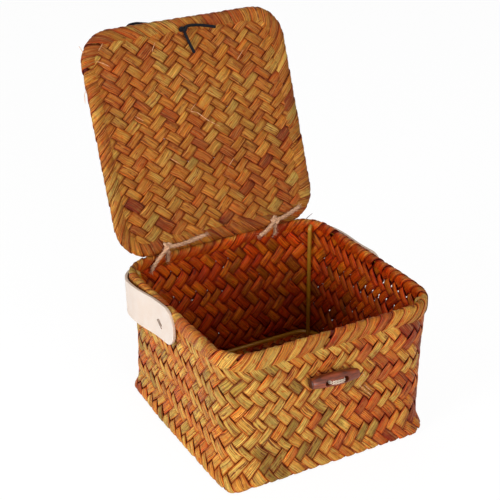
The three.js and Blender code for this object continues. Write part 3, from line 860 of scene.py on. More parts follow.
def add_strands(gathered, points, diameter, lay, rng, fullness=1.0):
    """Two strands of twine laid round each other along a line"""
    side, up = axes_along(points)
    along = measured(points)[1]
    radius = diameter / 2 * np.asarray(fullness)
    strand_share = 0.68
    reach_share = 0.52
    reach = np.broadcast_to(radius * reach_share, len(points))[:, None]
    for number in range(2):
        spin = TURN * (along / lay + number / 2)
        swell = 1 + 0.07 * np.sin(along * 2.1 + rng.uniform(0, TURN)) + 0.05 * np.sin(along * 5.3)
        path = points + reach * (np.cos(spin)[:, None] * side + np.sin(spin)[:, None] * up)
        add_tube(gathered, path, radius * strand_share * swell, 6, seed=float(number), edge=0.0)


def add_hair(gathered, line, thickness, tip):
    """One loose hair, which tapers to its tip"""
    add_tube(gathered, line, thickness * np.linspace(1, tip, len(line)), 3, seed=0.0, edge=0.0)


def add_hairs(gathered, points, count, radius, rng):
    """Loose hairs that leave a twine slantwise"""
    side, up = axes_along(points)
    ahead = np.gradient(points, axis=0)
    for _ in range(count):
        place = rng.randrange(1, len(points) - 1)
        spin = rng.uniform(0, TURN)
        out = math.cos(spin) * side[place] + math.sin(spin) * up[place]
        along = ahead[place] / np.linalg.norm(ahead[place]) * rng.choice((-1, 1))
        sideways = np.cross(out, along)
        reach = rng.uniform(2.0, 6.5) * rng.uniform(0.4, 1.0)
        curl = rng.uniform(-0.7, 0.7)
        start = points[place] + out * radius * 0.8
        line = [start + along * reach * t + out * reach * 0.42 * t * (1.3 - t * 0.6)
                + sideways * reach * curl * t * t for t in np.linspace(0, 1, 5)]
        add_hair(gathered, line, 0.12, 0.45)


def add_frayed_end(gathered, points, radius, rng):
    """The end of a twine, opened into single hairs"""
    end = points[-1]
    ahead = points[-1] - points[-3]
    ahead = ahead / np.linalg.norm(ahead)
    for _ in range(34):
        spread = np.array([rng.gauss(0, 1) for _ in range(3)])
        spread = (spread - ahead * np.dot(spread, ahead)) * 0.32
        reach = rng.uniform(2.0, 5.0)
        start = end - ahead * 0.8 + spread * radius * 0.9
        line = [start + ahead * reach * t + spread * reach * t * t for t in np.linspace(0, 1, 5)]
        add_hair(gathered, line, 0.14, 0.4)


def knot_line(centre, size, turn, spacing=0.4):
    """A small overhand knot, drawn tight"""
    t = np.linspace(0, TURN, 73)
    flat = np.stack(
        [np.sin(t) + 2 * np.sin(2 * t), np.cos(t) - 2 * np.cos(2 * t), -1.15 * np.sin(3 * t)], axis=1)
    turned = flat @ np.array(Matrix.Rotation(turn[0], 3, "X") @ Matrix.Rotation(turn[1], 3, "Z")).T
    return evenly(centre + turned * size / 3, spacing)


def state_cord(line, leaves, diameter):
    """Works out a cord's length in metres, which is not kept"""
    round(measured(line)[1][-1] * MM, 3)


class TieHinge(bpy.types.Operator):
    """Lash the lid to the rim with two twine ties"""

    bl_idname = "plaited_box.ties"
    bl_label = "Hinge Ties"

    # How far each tie is from the middle
    offset = 55.0

    # In metres: the levels between which the twine goes over from the box to the lid, how far back they
    # lie, and where the twine leaves the wall
    last_on_box = 0.1205
    first_on_lid = 0.1268
    hinge_depth = 0.0972
    wall_exit = (0.0944, 0.115)

    # The two loose tails of each tie, the one into the box first
    tails = {
        "left": (
            [[-58.5, 90.6, 127], [-63, 89.6, 123.6], [-68, 89.4, 118.5], [-71, 89.9, 114.5],
             [-72.4, 90.6, 111.4]],
            [[-50.5, 90.9, 129.6], [-43, 91.2, 129.2], [-34, 92, 129.6], [-25, 92.4, 130.8],
             [-18, 92, 132.2]],
        ),
        "right": (
            [[51.5, 90.8, 127.8], [47, 89.9, 124.6], [42.5, 89.6, 121.6], [37.8, 90, 119]],
            [[60, 91, 130.8], [66, 91.6, 131.8], [72, 92.5, 133.5], [77, 93, 135.1], [80.6, 93.2, 136.6]],
        ),
    }

    def execute(self, context):
        cord = context.scene.box_cord
        diameter = cord.tie_diameter / MM
        lay = cord.lay / MM
        twine = twine_material("hairy_twine", cord.twine, cord.twine_shade)
        for side, sign in (("left", -1), ("right", 1)):
            rng = random.Random(f"tie {side}")
            x = sign * self.offset
            line, knot = self.route(side, x)
            tie = Gathered()
            add_strands(tie, line, diameter, lay, rng, self.fullness(line, x, sign))
            piece = tie.piece(f"hinge_tie_{side}_twine", twine)
            lump = Gathered()
            add_strands(lump, knot_line(knot, 3.3, (0.5, sign * 0.6)), diameter, lay, rng)
            lump_piece = lump.piece(f"hinge_tie_{side}_knot", twine)
            hairs = Gathered()
            add_hairs(hairs, line, cord.hairs, diameter / 2, rng)
            add_frayed_end(hairs, line, diameter / 2, rng)
            add_frayed_end(hairs, line[::-1], diameter / 2, rng)
            hair_piece = hairs.piece(f"hinge_tie_{side}_hairs", twine)
            for part in (piece, lump_piece, hair_piece):
                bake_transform(part)
            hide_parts(f"hinge_tie_{side}")
            state_cord(line, (x * MM, *self.wall_exit), cord.tie_diameter)
        return {"FINISHED"}

    def fullness(self, line, x, sign):
        """The twine lies flatter on the leg that goes down inside the rim"""
        low = bend_in((BOX_TOP + 2 - line[:, 2]) / 3)
        beyond = bend_in((line[:, 0] * sign - 52) / 2)
        within = bend_in((94.5 - line[:, 1]) / 2)
        return 1.2 - 0.55 * (low * beyond * within * (np.abs(line[:, 0] - x) < 1.5))

    def route(self, side, x):
        """One tail, the turn round both hoops from the knot and back to it, and the other tail"""
        spacing = 0.45
        stand_off = ROLL + 0.3 + 1.2
        inner = ROLL_HALF - stand_off
        outer = ROLL_HALF + stand_off
        knot = lid_point(x, 3.0, -ROLL - 3.3)
        loop = [
            knot, np.array([x, inner - 0.3, BOX_TOP]), np.array([x, inner, BOX_TOP - 7]),
            np.array([x, outer, BOX_TOP - 7]), np.array([x, outer, BOX_TOP + 0.3]),
            lid_point(x, 4.2, stand_off), lid_point(x, 4.2, -stand_off), knot,
        ]
        first, second = self.tails[side]
        tail_in = curved([*first[::-1], knot], spacing)
        tail_out = curved([knot, *second], spacing)
        middle = eased(loop, 3.2, spacing)
        return evenly(np.vstack([tail_in[:-1], middle, tail_out[1:]]), spacing), knot


class ThreadElastic(bpy.types.Operator):
    """Thread the elastic loop through the lid and knot it inside"""

    bl_idname = "plaited_box.elastic"
    bl_label = "Elastic Loop"

    # Where the cord goes through the lid, across and in from the hinge line, and where its knot sits
    offset = -0.5
    reach = 187.0
    knot_depth = -6.4

    # The cord isn't stretched here, and so is thicker than its nominal diameter
    slack_fullness = 1.28
    knot_fullness = 1.25
    tip_fullness = 0.7

    # The loop outside the lid and the tails inside it: across, in from the hinge line and out
    slack = [
        (-7, 189.8, 6.2), (-17, 193.8, 7.6), (-28, 197.2, 8), (-38, 199, 7), (-46, 198.6, 5.6),
        (-49.6, 195.4, 4.8), (-47.6, 191.6, 4.4), (-40, 189.2, 4.4), (-29, 187, 4.6), (-17, 185, 5),
        (-7, 183.6, 5),
    ]
    first_tail = [(6.5, 166.2, -3.8), (4.3, 172, -4.2), (2.2, 178.5, -4.6), (0.8, 183.6, -4.8)]
    second_tail = [(4.6, 189, -5.2), (12, 188.8, -5), (20, 187.4, -4.8), (26.5, 185.8, -4.6),
                   (31.6, 184.4, -4.4)]

    def execute(self, context):
        cord = context.scene.box_cord
        radius = cord.elastic_diameter / MM / 2
        elastic = elastic_material()
        centre = (self.offset, self.reach, self.knot_depth)
        line = self.route(centre)
        tube = Gathered()
        add_tube(tube, line, radius * self.slack_fullness, 10)
        piece = tube.piece("elastic_cord", elastic)
        knot = Gathered()
        large = knot_line(lid_point(*centre), 3.1, (-0.35, 0.4), 0.35)
        small = knot_line(lid_point(*self.first_tail[0]), 1.2, (0.6, 0.2), 0.3)
        add_tube(knot, large, radius * self.knot_fullness, 8)
        add_tube(knot, small, radius * self.tip_fullness, 8)
        knot_piece = knot.piece("elastic_cord_knot", elastic)
        for part in (piece, knot_piece):
            seat(part, "lid", "elastic_cord")
        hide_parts("elastic_loop", "elastic_knot")
        leaves = lid_point(self.offset, self.reach, -3.0) * MM
        state_cord(line, tuple(leaves), cord.elastic_diameter)
        return {"FINISHED"}

    def route(self, centre):
        """One tail, the loop from the knot through the lid and back, and the other tail"""
        spacing = 0.5
        left = self.offset - 1.7
        right = self.offset + 1.7
        loop = [centre, (left, self.reach, -4.1), (left, self.reach, 4.1), *self.slack,
                (right, self.reach, 4.1), (right, self.reach, -4.1), centre]
        tail_in = curved([lid_point(*place) for place in [*self.first_tail, centre]], spacing)
        middle = eased([lid_point(*place) for place in loop], 2.2, spacing)
        tail_out = curved([lid_point(*place) for place in [centre, *self.second_tail]], spacing)
        return evenly(np.vstack([tail_in[:-1], middle, tail_out[1:]]), spacing)


# Plaiting


def sway(rng, wavelength, reach):
    """A slow wander along a strip"""
    waves = [(wavelength * rng.uniform(0.7, 1.4), rng.uniform(0, TURN), 0.62),
             (wavelength * rng.uniform(0.3, 0.5), rng.uniform(0, TURN), 0.38)]

    def wander(along):
        return reach * sum(size * np.sin(TURN * along / wave + start) for wave, start, size in waves)

    return wander


class StripFamily:
    """Strips that lie side by side and lean one way, each with its own width and tone

    first and last number the strips, and repeat is after how many they are the same again. tones is the
    mean and the spread of their tones."""

    def __init__(self, rng, first, last, pitch, spread, repeat=None, tones=(0.4, 0.2)):
        count = repeat or last - first
        jitter = [rng.gauss(0, spread) for _ in range(count)]
        self.first = first
        self.last = last
        self.repeat = count
        self.borders = np.array([pitch * i + jitter[(i - first) % count] for i in range(first, last + 1)])
        self.tones = [min(1.0, max(0.0, rng.gauss(*tones))) for _ in range(count)]
        self.shades = [rng.gauss(1.0, 0.08) for _ in range(count)]
        self.seeds = [rng.random() for _ in range(count)]

    def middle(self, number):
        return (self.borders[number - self.first] + self.borders[number - self.first + 1]) / 2

    def width(self, number):
        return self.borders[number - self.first + 1] - self.borders[number - self.first]

    def numbers(self, place):
        """How many strips lie before a place, whole at the middle of a strip"""
        return np.interp(place, self.borders, self.first - 0.5 + np.arange(len(self.borders)))

    def look(self, number):
        index = (number - self.first) % self.repeat
        return self.tones[index], self.shades[index], self.seeds[index]


# Lines of points along a strip, from one edge (-1) to the other, and those that its under face has too
TOP_COLUMNS = np.array([-1.0, -0.72, 0.0, 0.72, 1.0])
UNDER_COLUMNS = [4, 2, 0]


def add_strip(gathered, surface, across, along, lift, thickness, width, tone, shade, seed, dip, inner):
    """One flat strip with thickness. surface turns across, along and lift into points. dip is -1 to 1,
    above 0 where the upper face shows, and paints shade where a face goes under another. inner is how far
    the upper and the under face lie inside the box, where they get painted shade"""
    edge = np.broadcast_to(TOP_COLUMNS, across.shape)
    half = thickness / 2 * (1 - 0.5 * np.abs(edge) ** 3)
    top = surface(across, along, lift + half)
    under = surface(across[:, UNDER_COLUMNS], along[:, UNDER_COLUMNS], (lift - half)[:, UNDER_COLUMNS])
    rings = len(across)
    points = np.concatenate([top, under], axis=1).reshape(-1, 3)
    all_edges = np.concatenate([edge, edge[:, UNDER_COLUMNS]], axis=1)
    steps = np.linalg.norm(np.diff(top[:, 2], axis=0), axis=1)
    distance = np.concatenate([[0], np.cumsum(steps)])
    strip = np.stack([np.broadcast_to(distance[:, None], all_edges.shape), all_edges * width / 2], axis=-1)
    sides = all_edges.shape[1]
    below = (np.arange(sides) >= len(TOP_COLUMNS))[None, :]
    dip = np.broadcast_to(np.asarray(dip, float).reshape(rings, -1), across.shape)
    dips = np.concatenate([0.5 - dip, 0.5 + dip[:, UNDER_COLUMNS]], axis=1) / 0.5
    inside = np.where(below, np.asarray(inner[1])[..., None], np.asarray(inner[0])[..., None])
    inside = np.broadcast_to(inside, (rings, sides))
    gathered.add(points, ring_faces(rings, sides), strip=strip.reshape(-1, 2),
                 tone=np.repeat(tone, sides), shade=np.repeat(shade, sides), inner=inside.ravel(),
                 seed=np.full(rings * sides, seed), edge=all_edges.ravel(), dip=np.clip(dips, 0, 1).ravel())


def hump(swing):
    """From a plain wave to a float that lies flat and dips late. A lower softness dips later"""
    softness = 0.2
    return swing / np.sqrt(swing ** 2 + softness) * math.sqrt(1 + softness)


def plait(families, lean, slant, surface, span, by_columns, leaf, rng, step, warmth=None, numbers=None,
          inner=(0.0, 0.0), thin=None):
    """All strips of one family, over two and under two of the other

    lean is 1 for / and -1 for \\, and slant the angle of both to the level. span gives where a strip
    starts and ends, or None. warmth adds to the tone at a place, and thin scales the width there."""
    own, other = families if lean > 0 else families[::-1]
    sine = math.sin(slant)
    cosine = math.cos(slant)
    gathered = Gathered()
    for number in numbers or range(own.first, own.last):
        middle = own.middle(number)
        ends = span(middle, lean)
        if ends is None:
            continue
        run = np.linspace(*ends, max(3, int((ends[1] - ends[0]) / step)))
        width = own.width(number) * sine * (1 - leaf.gap)

        # The edges are ragged, and the strip wanders a little to each side
        ragged = 1 + sway(rng, 60, 0.06)(run) + sway(rng, 18, 0.04)(run)
        drift = sway(rng, 70, 0.35)(run)
        if thin is not None:
            ragged = ragged * thin(surface(middle + run * cosine, lean * run * sine, 0.0 * run))
        offset = TOP_COLUMNS[None, :] * (width / 2 * ragged)[:, None] + drift[:, None]
        across = middle + run[:, None] * cosine - lean * offset * sine
        along = lean * run[:, None] * sine + offset * cosine

        # How many strips of the other family it has crossed says where it floats and where it dips
        crossed = other.numbers(across + lean * along * cosine / sine)
        if by_columns:
            centre = 0.5 - number if lean > 0 else 2.5 - number
        else:
            centre = number - 0.5 if lean > 0 else number + 2.5
        wave = np.cos(TURN * (crossed - centre) / 4)
        swing = hump(wave)
        bulge = leaf.crown / MM * (1 - TOP_COLUMNS[None, :] ** 2)
        roll = sway(rng, 34, 0.13)(run)[:, None] * TOP_COLUMNS[None, :]
        lift = swing * (leaf.relief / MM + bulge) + roll

        # Its tone and shade change slowly along it
        tone, shade, seed = own.look(number)
        tones = tone + sway(rng, 90, 0.12)(run)
        if warmth is not None:
            tones = tones + warmth(surface(across[:, 2], along[:, 2], 0.0 * run))
        shades = shade + sway(rng, 50, 0.05)(run)
        add_strip(gathered, surface, across, along, lift, leaf.thickness / MM, width, tones, shades, seed,
                  wave, inner)
    return gathered


def plait_both(prefix, seating, material, families, slant, surface, span, **how):
    """Both families as two pieces, the one that rises to the right first"""
    for lean, way in ((1, "rising"), (-1, "falling")):
        strips = plait(families, lean, slant, surface, span, **how)
        seat(strips.piece(f"{prefix}_strips_{way}", material), *seating)


def pressed(wider):
    """For strips that are pressed together, a little wider than their places"""
    return lambda points: np.full(len(points), wider)


class WallShape:
    """The walls from the underside, round the foot and up under the rim's fold"""

    # Height up the wall, and how far it is drawn in there
    side = ((9.76, 1.7), (14.64, 3.1), (20.74, 4.1), (48.8, 4.2), (75.64, 3.4), (97.6, 2.2), (110.0, 1.6),
            (119.0, 1.6))

    # The foot's bend, and how far the strips go on under the floor
    foot_inset = -0.3
    foot_radius = 3.4
    foot_reach = 16
    half_thickness = 1.2

    # Radius of the corners at the foot, what it grows by up the wall, and the foot's at the front left
    corner = 22
    corner_growth = 6.4
    foot_corner = 9.0

    # The height at which the distance along the wall is the height itself
    level = 30.0

    def __init__(self, dent):
        self.dent = dent
        foot = self.foot_inset + self.foot_radius
        outline = [(foot + self.foot_reach, 0.0), (foot, 0.0)]
        for turn in np.linspace(0.1, 1, 8) * TURN / 4:
            outline.append((foot - self.foot_radius * math.sin(turn),
                            self.foot_radius * (1 - math.cos(turn))))
        outline += [(inset, height) for height, inset in self.side]
        smooth = evenly(outline, 0.5)
        kernel = np.ones(5) / 5
        inner = np.stack([np.convolve(smooth[:, axis], kernel, "valid") for axis in range(2)], axis=1)
        line, along = measured(inner)
        zero = np.interp(self.level, line[:, 1], along)
        self.along = along - zero + self.level
        self.inset = line[:, 0]
        self.height = line[:, 1]
        slope = np.gradient(line, axis=0)
        slope /= np.linalg.norm(slope, axis=1)[:, None]
        self.out = slope[:, 1]
        self.up = slope[:, 0]

    def __call__(self, around, along, lift):
        """around and along in millimetres over the wall, lift out from the middle of its thickness"""
        inset = np.interp(along, self.along, self.inset)
        height = np.interp(along, self.along, self.height)
        out = np.interp(along, self.along, self.out)
        up = np.interp(along, self.along, self.up)
        turn = around / WALL_ROUND

        # Slow dents, which fade out at the foot and under the rim
        wave = np.sin(TURN * (3 * turn + along / 97)) + np.sin(TURN * (7 * turn - along / 61) + 2.0)
        fade = np.clip(along / 25, 0, 1) * np.clip((108 - along) / 18, 0, 1)
        lift = lift - self.half_thickness + self.dent * wave / 2 * fade

        # The corners are sharper at the foot, most of all at the front left
        inward = np.maximum(inset - self.foot_inset, 0) * (height < self.foot_radius)
        corner = self.corner + self.corner_growth * np.clip(height / 60, 0, 1)
        foot = 1 - bend_in(height / 16)
        front_left = bend_in(np.cos(TURN * (turn + 0.125)))
        corner = np.maximum(corner - (corner - self.foot_corner) * foot * front_left - inward, 1.5)
        x, y = round_square(HALF - inset + lift * out, corner + lift * out, turn)
        return self.settled(x, y, height + lift * up)

    def settled(self, x, y, z):
        """The lower front right corner has sunk in, and the foot flares a little elsewhere"""
        # How much each change tells, by height and then by place round the box
        waist = bend_in(z / 14) * (1 - bend_in((z - 14) / 40))
        knee = bend_in(z / 6) * (1 - bend_in((z - 12) / 20))
        foot = 1 - bend_in(z / 24)
        low = 1 - bend_in(z / 8)
        near = bend_in((x - 10) / 90) * bend_in((40 - y) / 130)
        left = bend_in(-x / 60)
        front = bend_in(-y / 80)
        back_left = left * bend_in((y - 20) / 60) * foot
        flare_left = left * bend_in((y + 105) / 25) * (0.8 * low + 0.9 * foot * bend_in((20 - y) / 80))
        flare_front = front * bend_in((x + 88) / 25) * low * (1.4 + 1.4 * bend_in((x + 60) / 80))
        x = x - near * (1.6 * waist + 6.2 * foot + 1.9 * knee + 2.0 * low) + 2.6 * back_left - flare_left
        y = y - foot * (0.8 * front + near) - flare_front
        return np.stack([x, y, z + 0.82 * (1 - bend_in(z / 12))], axis=-1)


class PlaitWalls(bpy.types.Operator):
    """Plait the four walls, round the foot and up under the fold"""

    bl_idname = "plaited_box.walls"
    bl_label = "Walls"

    # Heights between which the strips run, on the wall's own measure
    lowest = -13.5
    highest = 117.0

    def execute(self, context):
        leaf = context.scene.box_leaf
        wall = context.scene.box_wall
        rng = random.Random(leaf.seed)
        turn = wall.strips
        pitch = WALL_ROUND / turn
        slant = math.atan(wall.row_height / MM / (2 * pitch))
        families = [StripFamily(rng, -turn, 2 * turn, pitch, leaf.width_spread / MM, turn, (0.42, 0.23))
                    for _ in range(2)]
        shape = WallShape(wall.dent / MM)
        origin = wall.first_row / MM - 1.5 * wall.row_height / MM / 4

        def surface(across, along, lift):
            return shape(across, along + origin, lift)

        def span(middle, lean):
            low = (self.lowest - origin) / math.sin(slant)
            high = (self.highest - origin) / math.sin(slant)
            return (low, high) if lean > 0 else (-high, -low)

        material = leaf_material("leaf_weave", shade=1.13, veins=1.1, outline=0.6)
        # The strips' under faces look into the box and take its painted shade
        plait_both("wall", ("box", "leaf_weave", "woven_box"), material, families, slant, surface, span,
                   by_columns=False, leaf=leaf, rng=rng, step=1.5, warmth=self.warmth, numbers=range(turn),
                   inner=(0.0, 1.0), thin=self.thin)
        return {"FINISHED"}

    def warmth(self, points):
        """The front is warmer to the right and greener to the left"""
        front = np.clip(-points[:, 1] / 90, 0, 1) ** 3
        left = np.clip(-points[:, 0] / 90, 0, 1) ** 3
        slow = 0.03 * np.sin(points[:, 2] / 17) - 0.05 * left
        return 0.33 * front * np.clip(points[:, 0] / 90, -0.68, 1) + slow

    def thin(self, points):
        """Strips are narrower, so that light comes through, high on the right wall near its front"""
        right = np.clip((points[:, 0] - 80) / 12, 0, 1)
        spot = np.exp(-((points[:, 1] + 28) / 32) ** 2 - ((points[:, 2] - 104) / 14) ** 2)
        wide = np.exp(-((points[:, 1] + 30) / 70) ** 2 - ((points[:, 2] - 70) / 45) ** 2)
        return 1.03 - right * (0.2 * spot + 0.05 * wide)


def inside_square(across, along, half, radius):
    """Distance inside a rounded square, less than 0 outside it"""
    x = np.abs(across) - (half - radius)
    y = np.abs(along) - (half - radius)
    corner = np.hypot(np.maximum(x, 0), np.maximum(y, 0)) + np.minimum(np.maximum(x, y), 0)
    return radius - corner


def panel_span(slant, half, radius, margin):
    """For a flat panel: where a strip is at least margin inside a rounded square"""
    def span(middle, lean):
        run = np.arange(-320, 320, 0.5)
        room = inside_square(middle + run * math.cos(slant), lean * run * math.sin(slant), half, radius)
        inside = run[room > margin]
        if len(inside) < 12:
            return None
        return inside[0], inside[-1]

    return span


class PlaitFloor(bpy.types.Operator):
    """Plait the floor of the box"""

    bl_idname = "plaited_box.floor"
    bl_label = "Floor"

    pitch = 12.4
    slant = math.radians(45)
    middle_height = 1.9
    flatness = 0.9

    def execute(self, context):
        leaf = context.scene.box_leaf
        rng = random.Random(leaf.seed + 1)
        families = [StripFamily(rng, -20, 20, self.pitch, leaf.width_spread / MM, tones=(0.5, 0.2))
                    for _ in range(2)]
        shape = WallShape(0.0)

        def surface(across, along, lift):
            x, y, z = np.broadcast_arrays(across, -along, self.middle_height - lift * self.flatness)
            settled = shape.settled(x, y, z)
            return np.stack([settled[..., 0], settled[..., 1], z], axis=-1)

        span = panel_span(self.slant, half=95.0, radius=17.0, margin=1.0)
        material = leaf_material("leaf_floor", tone_shift=0.05, shade=0.95)
        plait_both("floor", ("box", "leaf_weave"), material, families, self.slant, surface, span,
                   by_columns=False, leaf=leaf, rng=rng, step=2.2, thin=pressed(1.07))
        return {"FINISHED"}


class PlaitLid(bpy.types.Operator):
    """Plait the panel of the lid"""

    bl_idname = "plaited_box.lid"
    bl_label = "Lid"

    def execute(self, context):
        leaf = context.scene.box_leaf
        lid = context.scene.box_lid
        rng = random.Random(leaf.seed + 2)
        pitch = lid.spacing / MM
        slant = math.atan(lid.row_height / MM / pitch)
        spread = 1.2 * leaf.width_spread / MM
        families = [StripFamily(rng, -20, 21, pitch, spread, tones=(0.47, 0.115)) for _ in range(2)]

        def surface(across, along, lift):
            return lid_point(across * LID_NARROW + LID_SHIFT, along + ROLL_HALF, -lift)

        span = panel_span(slant, HALF, RIM_CORNER, margin=4.6)
        material = leaf_material("lid_weave", tone_shift=0.06, shade=0.9, veins=1.0625, blush_and_shade=0.75,
                                 spread=0.14, outline=0.42)
        plait_both("lid", ("lid", "lid_weave", "lid_weave"), material, families, slant, surface, span,
                   by_columns=True, leaf=leaf, rng=rng, step=1.4, thin=pressed(1.035))
        return {"FINISHED"}


# Folds


def fold_strips(section, outward, strips, slope, place, leaf, rng, widths, tones, inside, warmth=None):
    """Strips wound slantwise round a hoop, as shingles

    section is the fold's outline, across the hoop's middle line, and outward 1 or -1 for the side on
    which its outer face lies. slope is the strips' angle to the hoop. inside tells how far a place along
    the outline lies inside the box."""
    line, along = measured(evenly(section, 0.4))
    ahead = np.gradient(line, axis=0)
    ahead /= np.linalg.norm(ahead, axis=1)[:, None]
    normal = outward * np.stack([ahead[:, 1], -ahead[:, 0]], axis=1)
    whole = along[-1]
    round_length = hoop_length(ROLL_HALF, HOOP_CORNER)
    pitch = round_length / strips
    columns = TOP_COLUMNS[None, :]

    def surface(around, level, lift):
        radial = np.interp(level, along, line[:, 0]) + lift * np.interp(level, along, normal[:, 0])
        axial = np.interp(level, along, line[:, 1]) + lift * np.interp(level, along, normal[:, 1])
        return place(around / round_length, radial, axial)

    gathered = Gathered()
    for number in range(strips):
        start = (number + rng.gauss(0, 0.07)) * pitch
        width = pitch * math.sin(slope) * widths * rng.gauss(1.0, 0.11)
        lean = slope + rng.gauss(0, 0.05)
        run = np.linspace(0, whole, int(whole / 1.1))
        offset = columns * width / 2
        level = np.clip(run[:, None] + offset * math.cos(lean), 0, whole)
        across = start + run[:, None] / math.tan(lean) - offset * math.sin(lean)
        bulge = 0.16 * (1 - columns ** 2)
        shingle = 0.5 * columns + rng.uniform(-0.05, 0.15)
        tone = min(1.0, max(0.0, rng.gauss(*tones)))
        if warmth is not None:
            tone = tone + warmth(*surface(np.array([start]), np.array([whole / 2]), np.array([0.0]))[0])
        shade = rng.gauss(0.95, 0.13)
        # Each strip's under face gets painted shade through dip and inner, and its upper face where it lies
        # inside the box
        add_strip(gathered, surface, across, level, bulge + shingle, leaf.thickness / MM * 0.85, width,
                  tone + sway(rng, 50, 0.08)(run), np.full(len(run), shade), rng.random(),
                  np.ones(len(run)), (inside(run, whole), 1.0))
    return gathered


def roll_outline(first_deep, last_deep, tuck):
    """A fold's outline: the first flap from its tucked end, over the roll, and down the last flap"""
    radius = 2.7
    arc = [(radius * math.cos(turn), radius * math.sin(turn)) for turn in np.linspace(0, math.pi, 17)]
    first = [(0.1, -first_deep - tuck), (0.8, -first_deep - tuck * 0.45), (radius - 0.3, -first_deep + 0.8),
             (radius, -first_deep + 3.4)]
    last = [(-radius, 3.4 - last_deep), (0.3 - radius, 0.8 - last_deep), (-0.8, -last_deep - tuck * 0.45),
            (-0.1, -last_deep - tuck)]
    return first + arc + last


def add_core(gathered, place):
    """The strips' ends, packed round the hoop inside its fold, made dark as painted shade in the gaps
    between the fold's strips
    """
    turns = np.linspace(0, 1, 200, endpoint=False)
    add_tube(gathered, place(turns, 0.0 * turns, 0.0 * turns), 1.9, 10, closed=True, tone=0.9, shade=0.4,
             seed=0.5, edge=0.0, dip=1.0, inner=0.0)


class FoldRim(bpy.types.Operator):
    """Fold the strips over the hoop of the rim"""

    bl_idname = "plaited_box.rim"
    bl_label = "Rim Fold"

    # The depth of the outer and the inner flap and of their tucked ends, and the strips' slant and width
    flaps = (9.4, 5.6, 4.4)
    slope = math.radians(53)
    widths = 1.24

    def execute(self, context):
        leaf = context.scene.box_leaf
        rng = random.Random(leaf.seed + 3)

        def place(turn, radial, axial):
            """The rim stands a little higher and further out along the right"""
            x, y = round_square(ROLL_HALF + radial, HOOP_CORNER + radial, turn)
            right = bend_in((x + 10) / 90)
            raised = right * (1 - 0.9 * bend_in((-y - 40) / 50))
            return np.stack([x + 0.3 * right, y, HOOP_LEVEL + axial + 1.2 * raised], axis=-1)

        def inside(run, whole):
            return bend_in((run / whole - 0.56) / 0.12)

        def warmth(x, y, z):
            return 0.09 + 0.1 * math.sin(math.atan2(x, -y))

        strips = fold_strips(
            roll_outline(*self.flaps), 1, context.scene.box_wall.strips, self.slope, place, leaf, rng,
            self.widths, tones=(0.5, 0.17), inside=inside, warmth=warmth)
        add_core(strips, place)
        material = leaf_material("leaf_fold", shade=1.09, outline=0.95)
        seat(strips.piece("rim_fold_strips", material), "box", "leaf_fold", "rim_fold")
        return {"FINISHED"}


class FoldLid(bpy.types.Operator):
    """Fold the strips round the hoop of the lid"""

    bl_idname = "plaited_box.lid_fold"
    bl_label = "Lid Fold"

    # As for the rim's fold
    flaps = (7.0, 7.0, 4.6)
    slope = math.radians(46)
    widths = 1.34

    def execute(self, context):
        leaf = context.scene.box_leaf
        rng = random.Random(leaf.seed + 4)

        def place(turn, radial, axial):
            x, y = round_square(ROLL_HALF + radial, HOOP_CORNER + radial, turn)
            return lid_point(x * LID_NARROW + LID_SHIFT, ROLL_HALF - y, axial)

        outline = [(y, x) for x, y in roll_outline(*self.flaps)]
        strips = fold_strips(
            outline, -1, context.scene.box_lid.fold_strips, self.slope, place, leaf, rng,
            self.widths, tones=(0.5, 0.12), inside=lambda run, whole: 0.0 * run)
        add_core(strips, place)
        material = leaf_material(
            "leaf_lid_fold", tone_shift=0.04, shade=0.88, blush_and_shade=0.8, spread=0.1, outline=0.95)
        seat(strips.piece("lid_fold_strips", material), "lid", "leaf_fold", "lid_fold")
        return {"FINISHED"}


# Hoops and posts


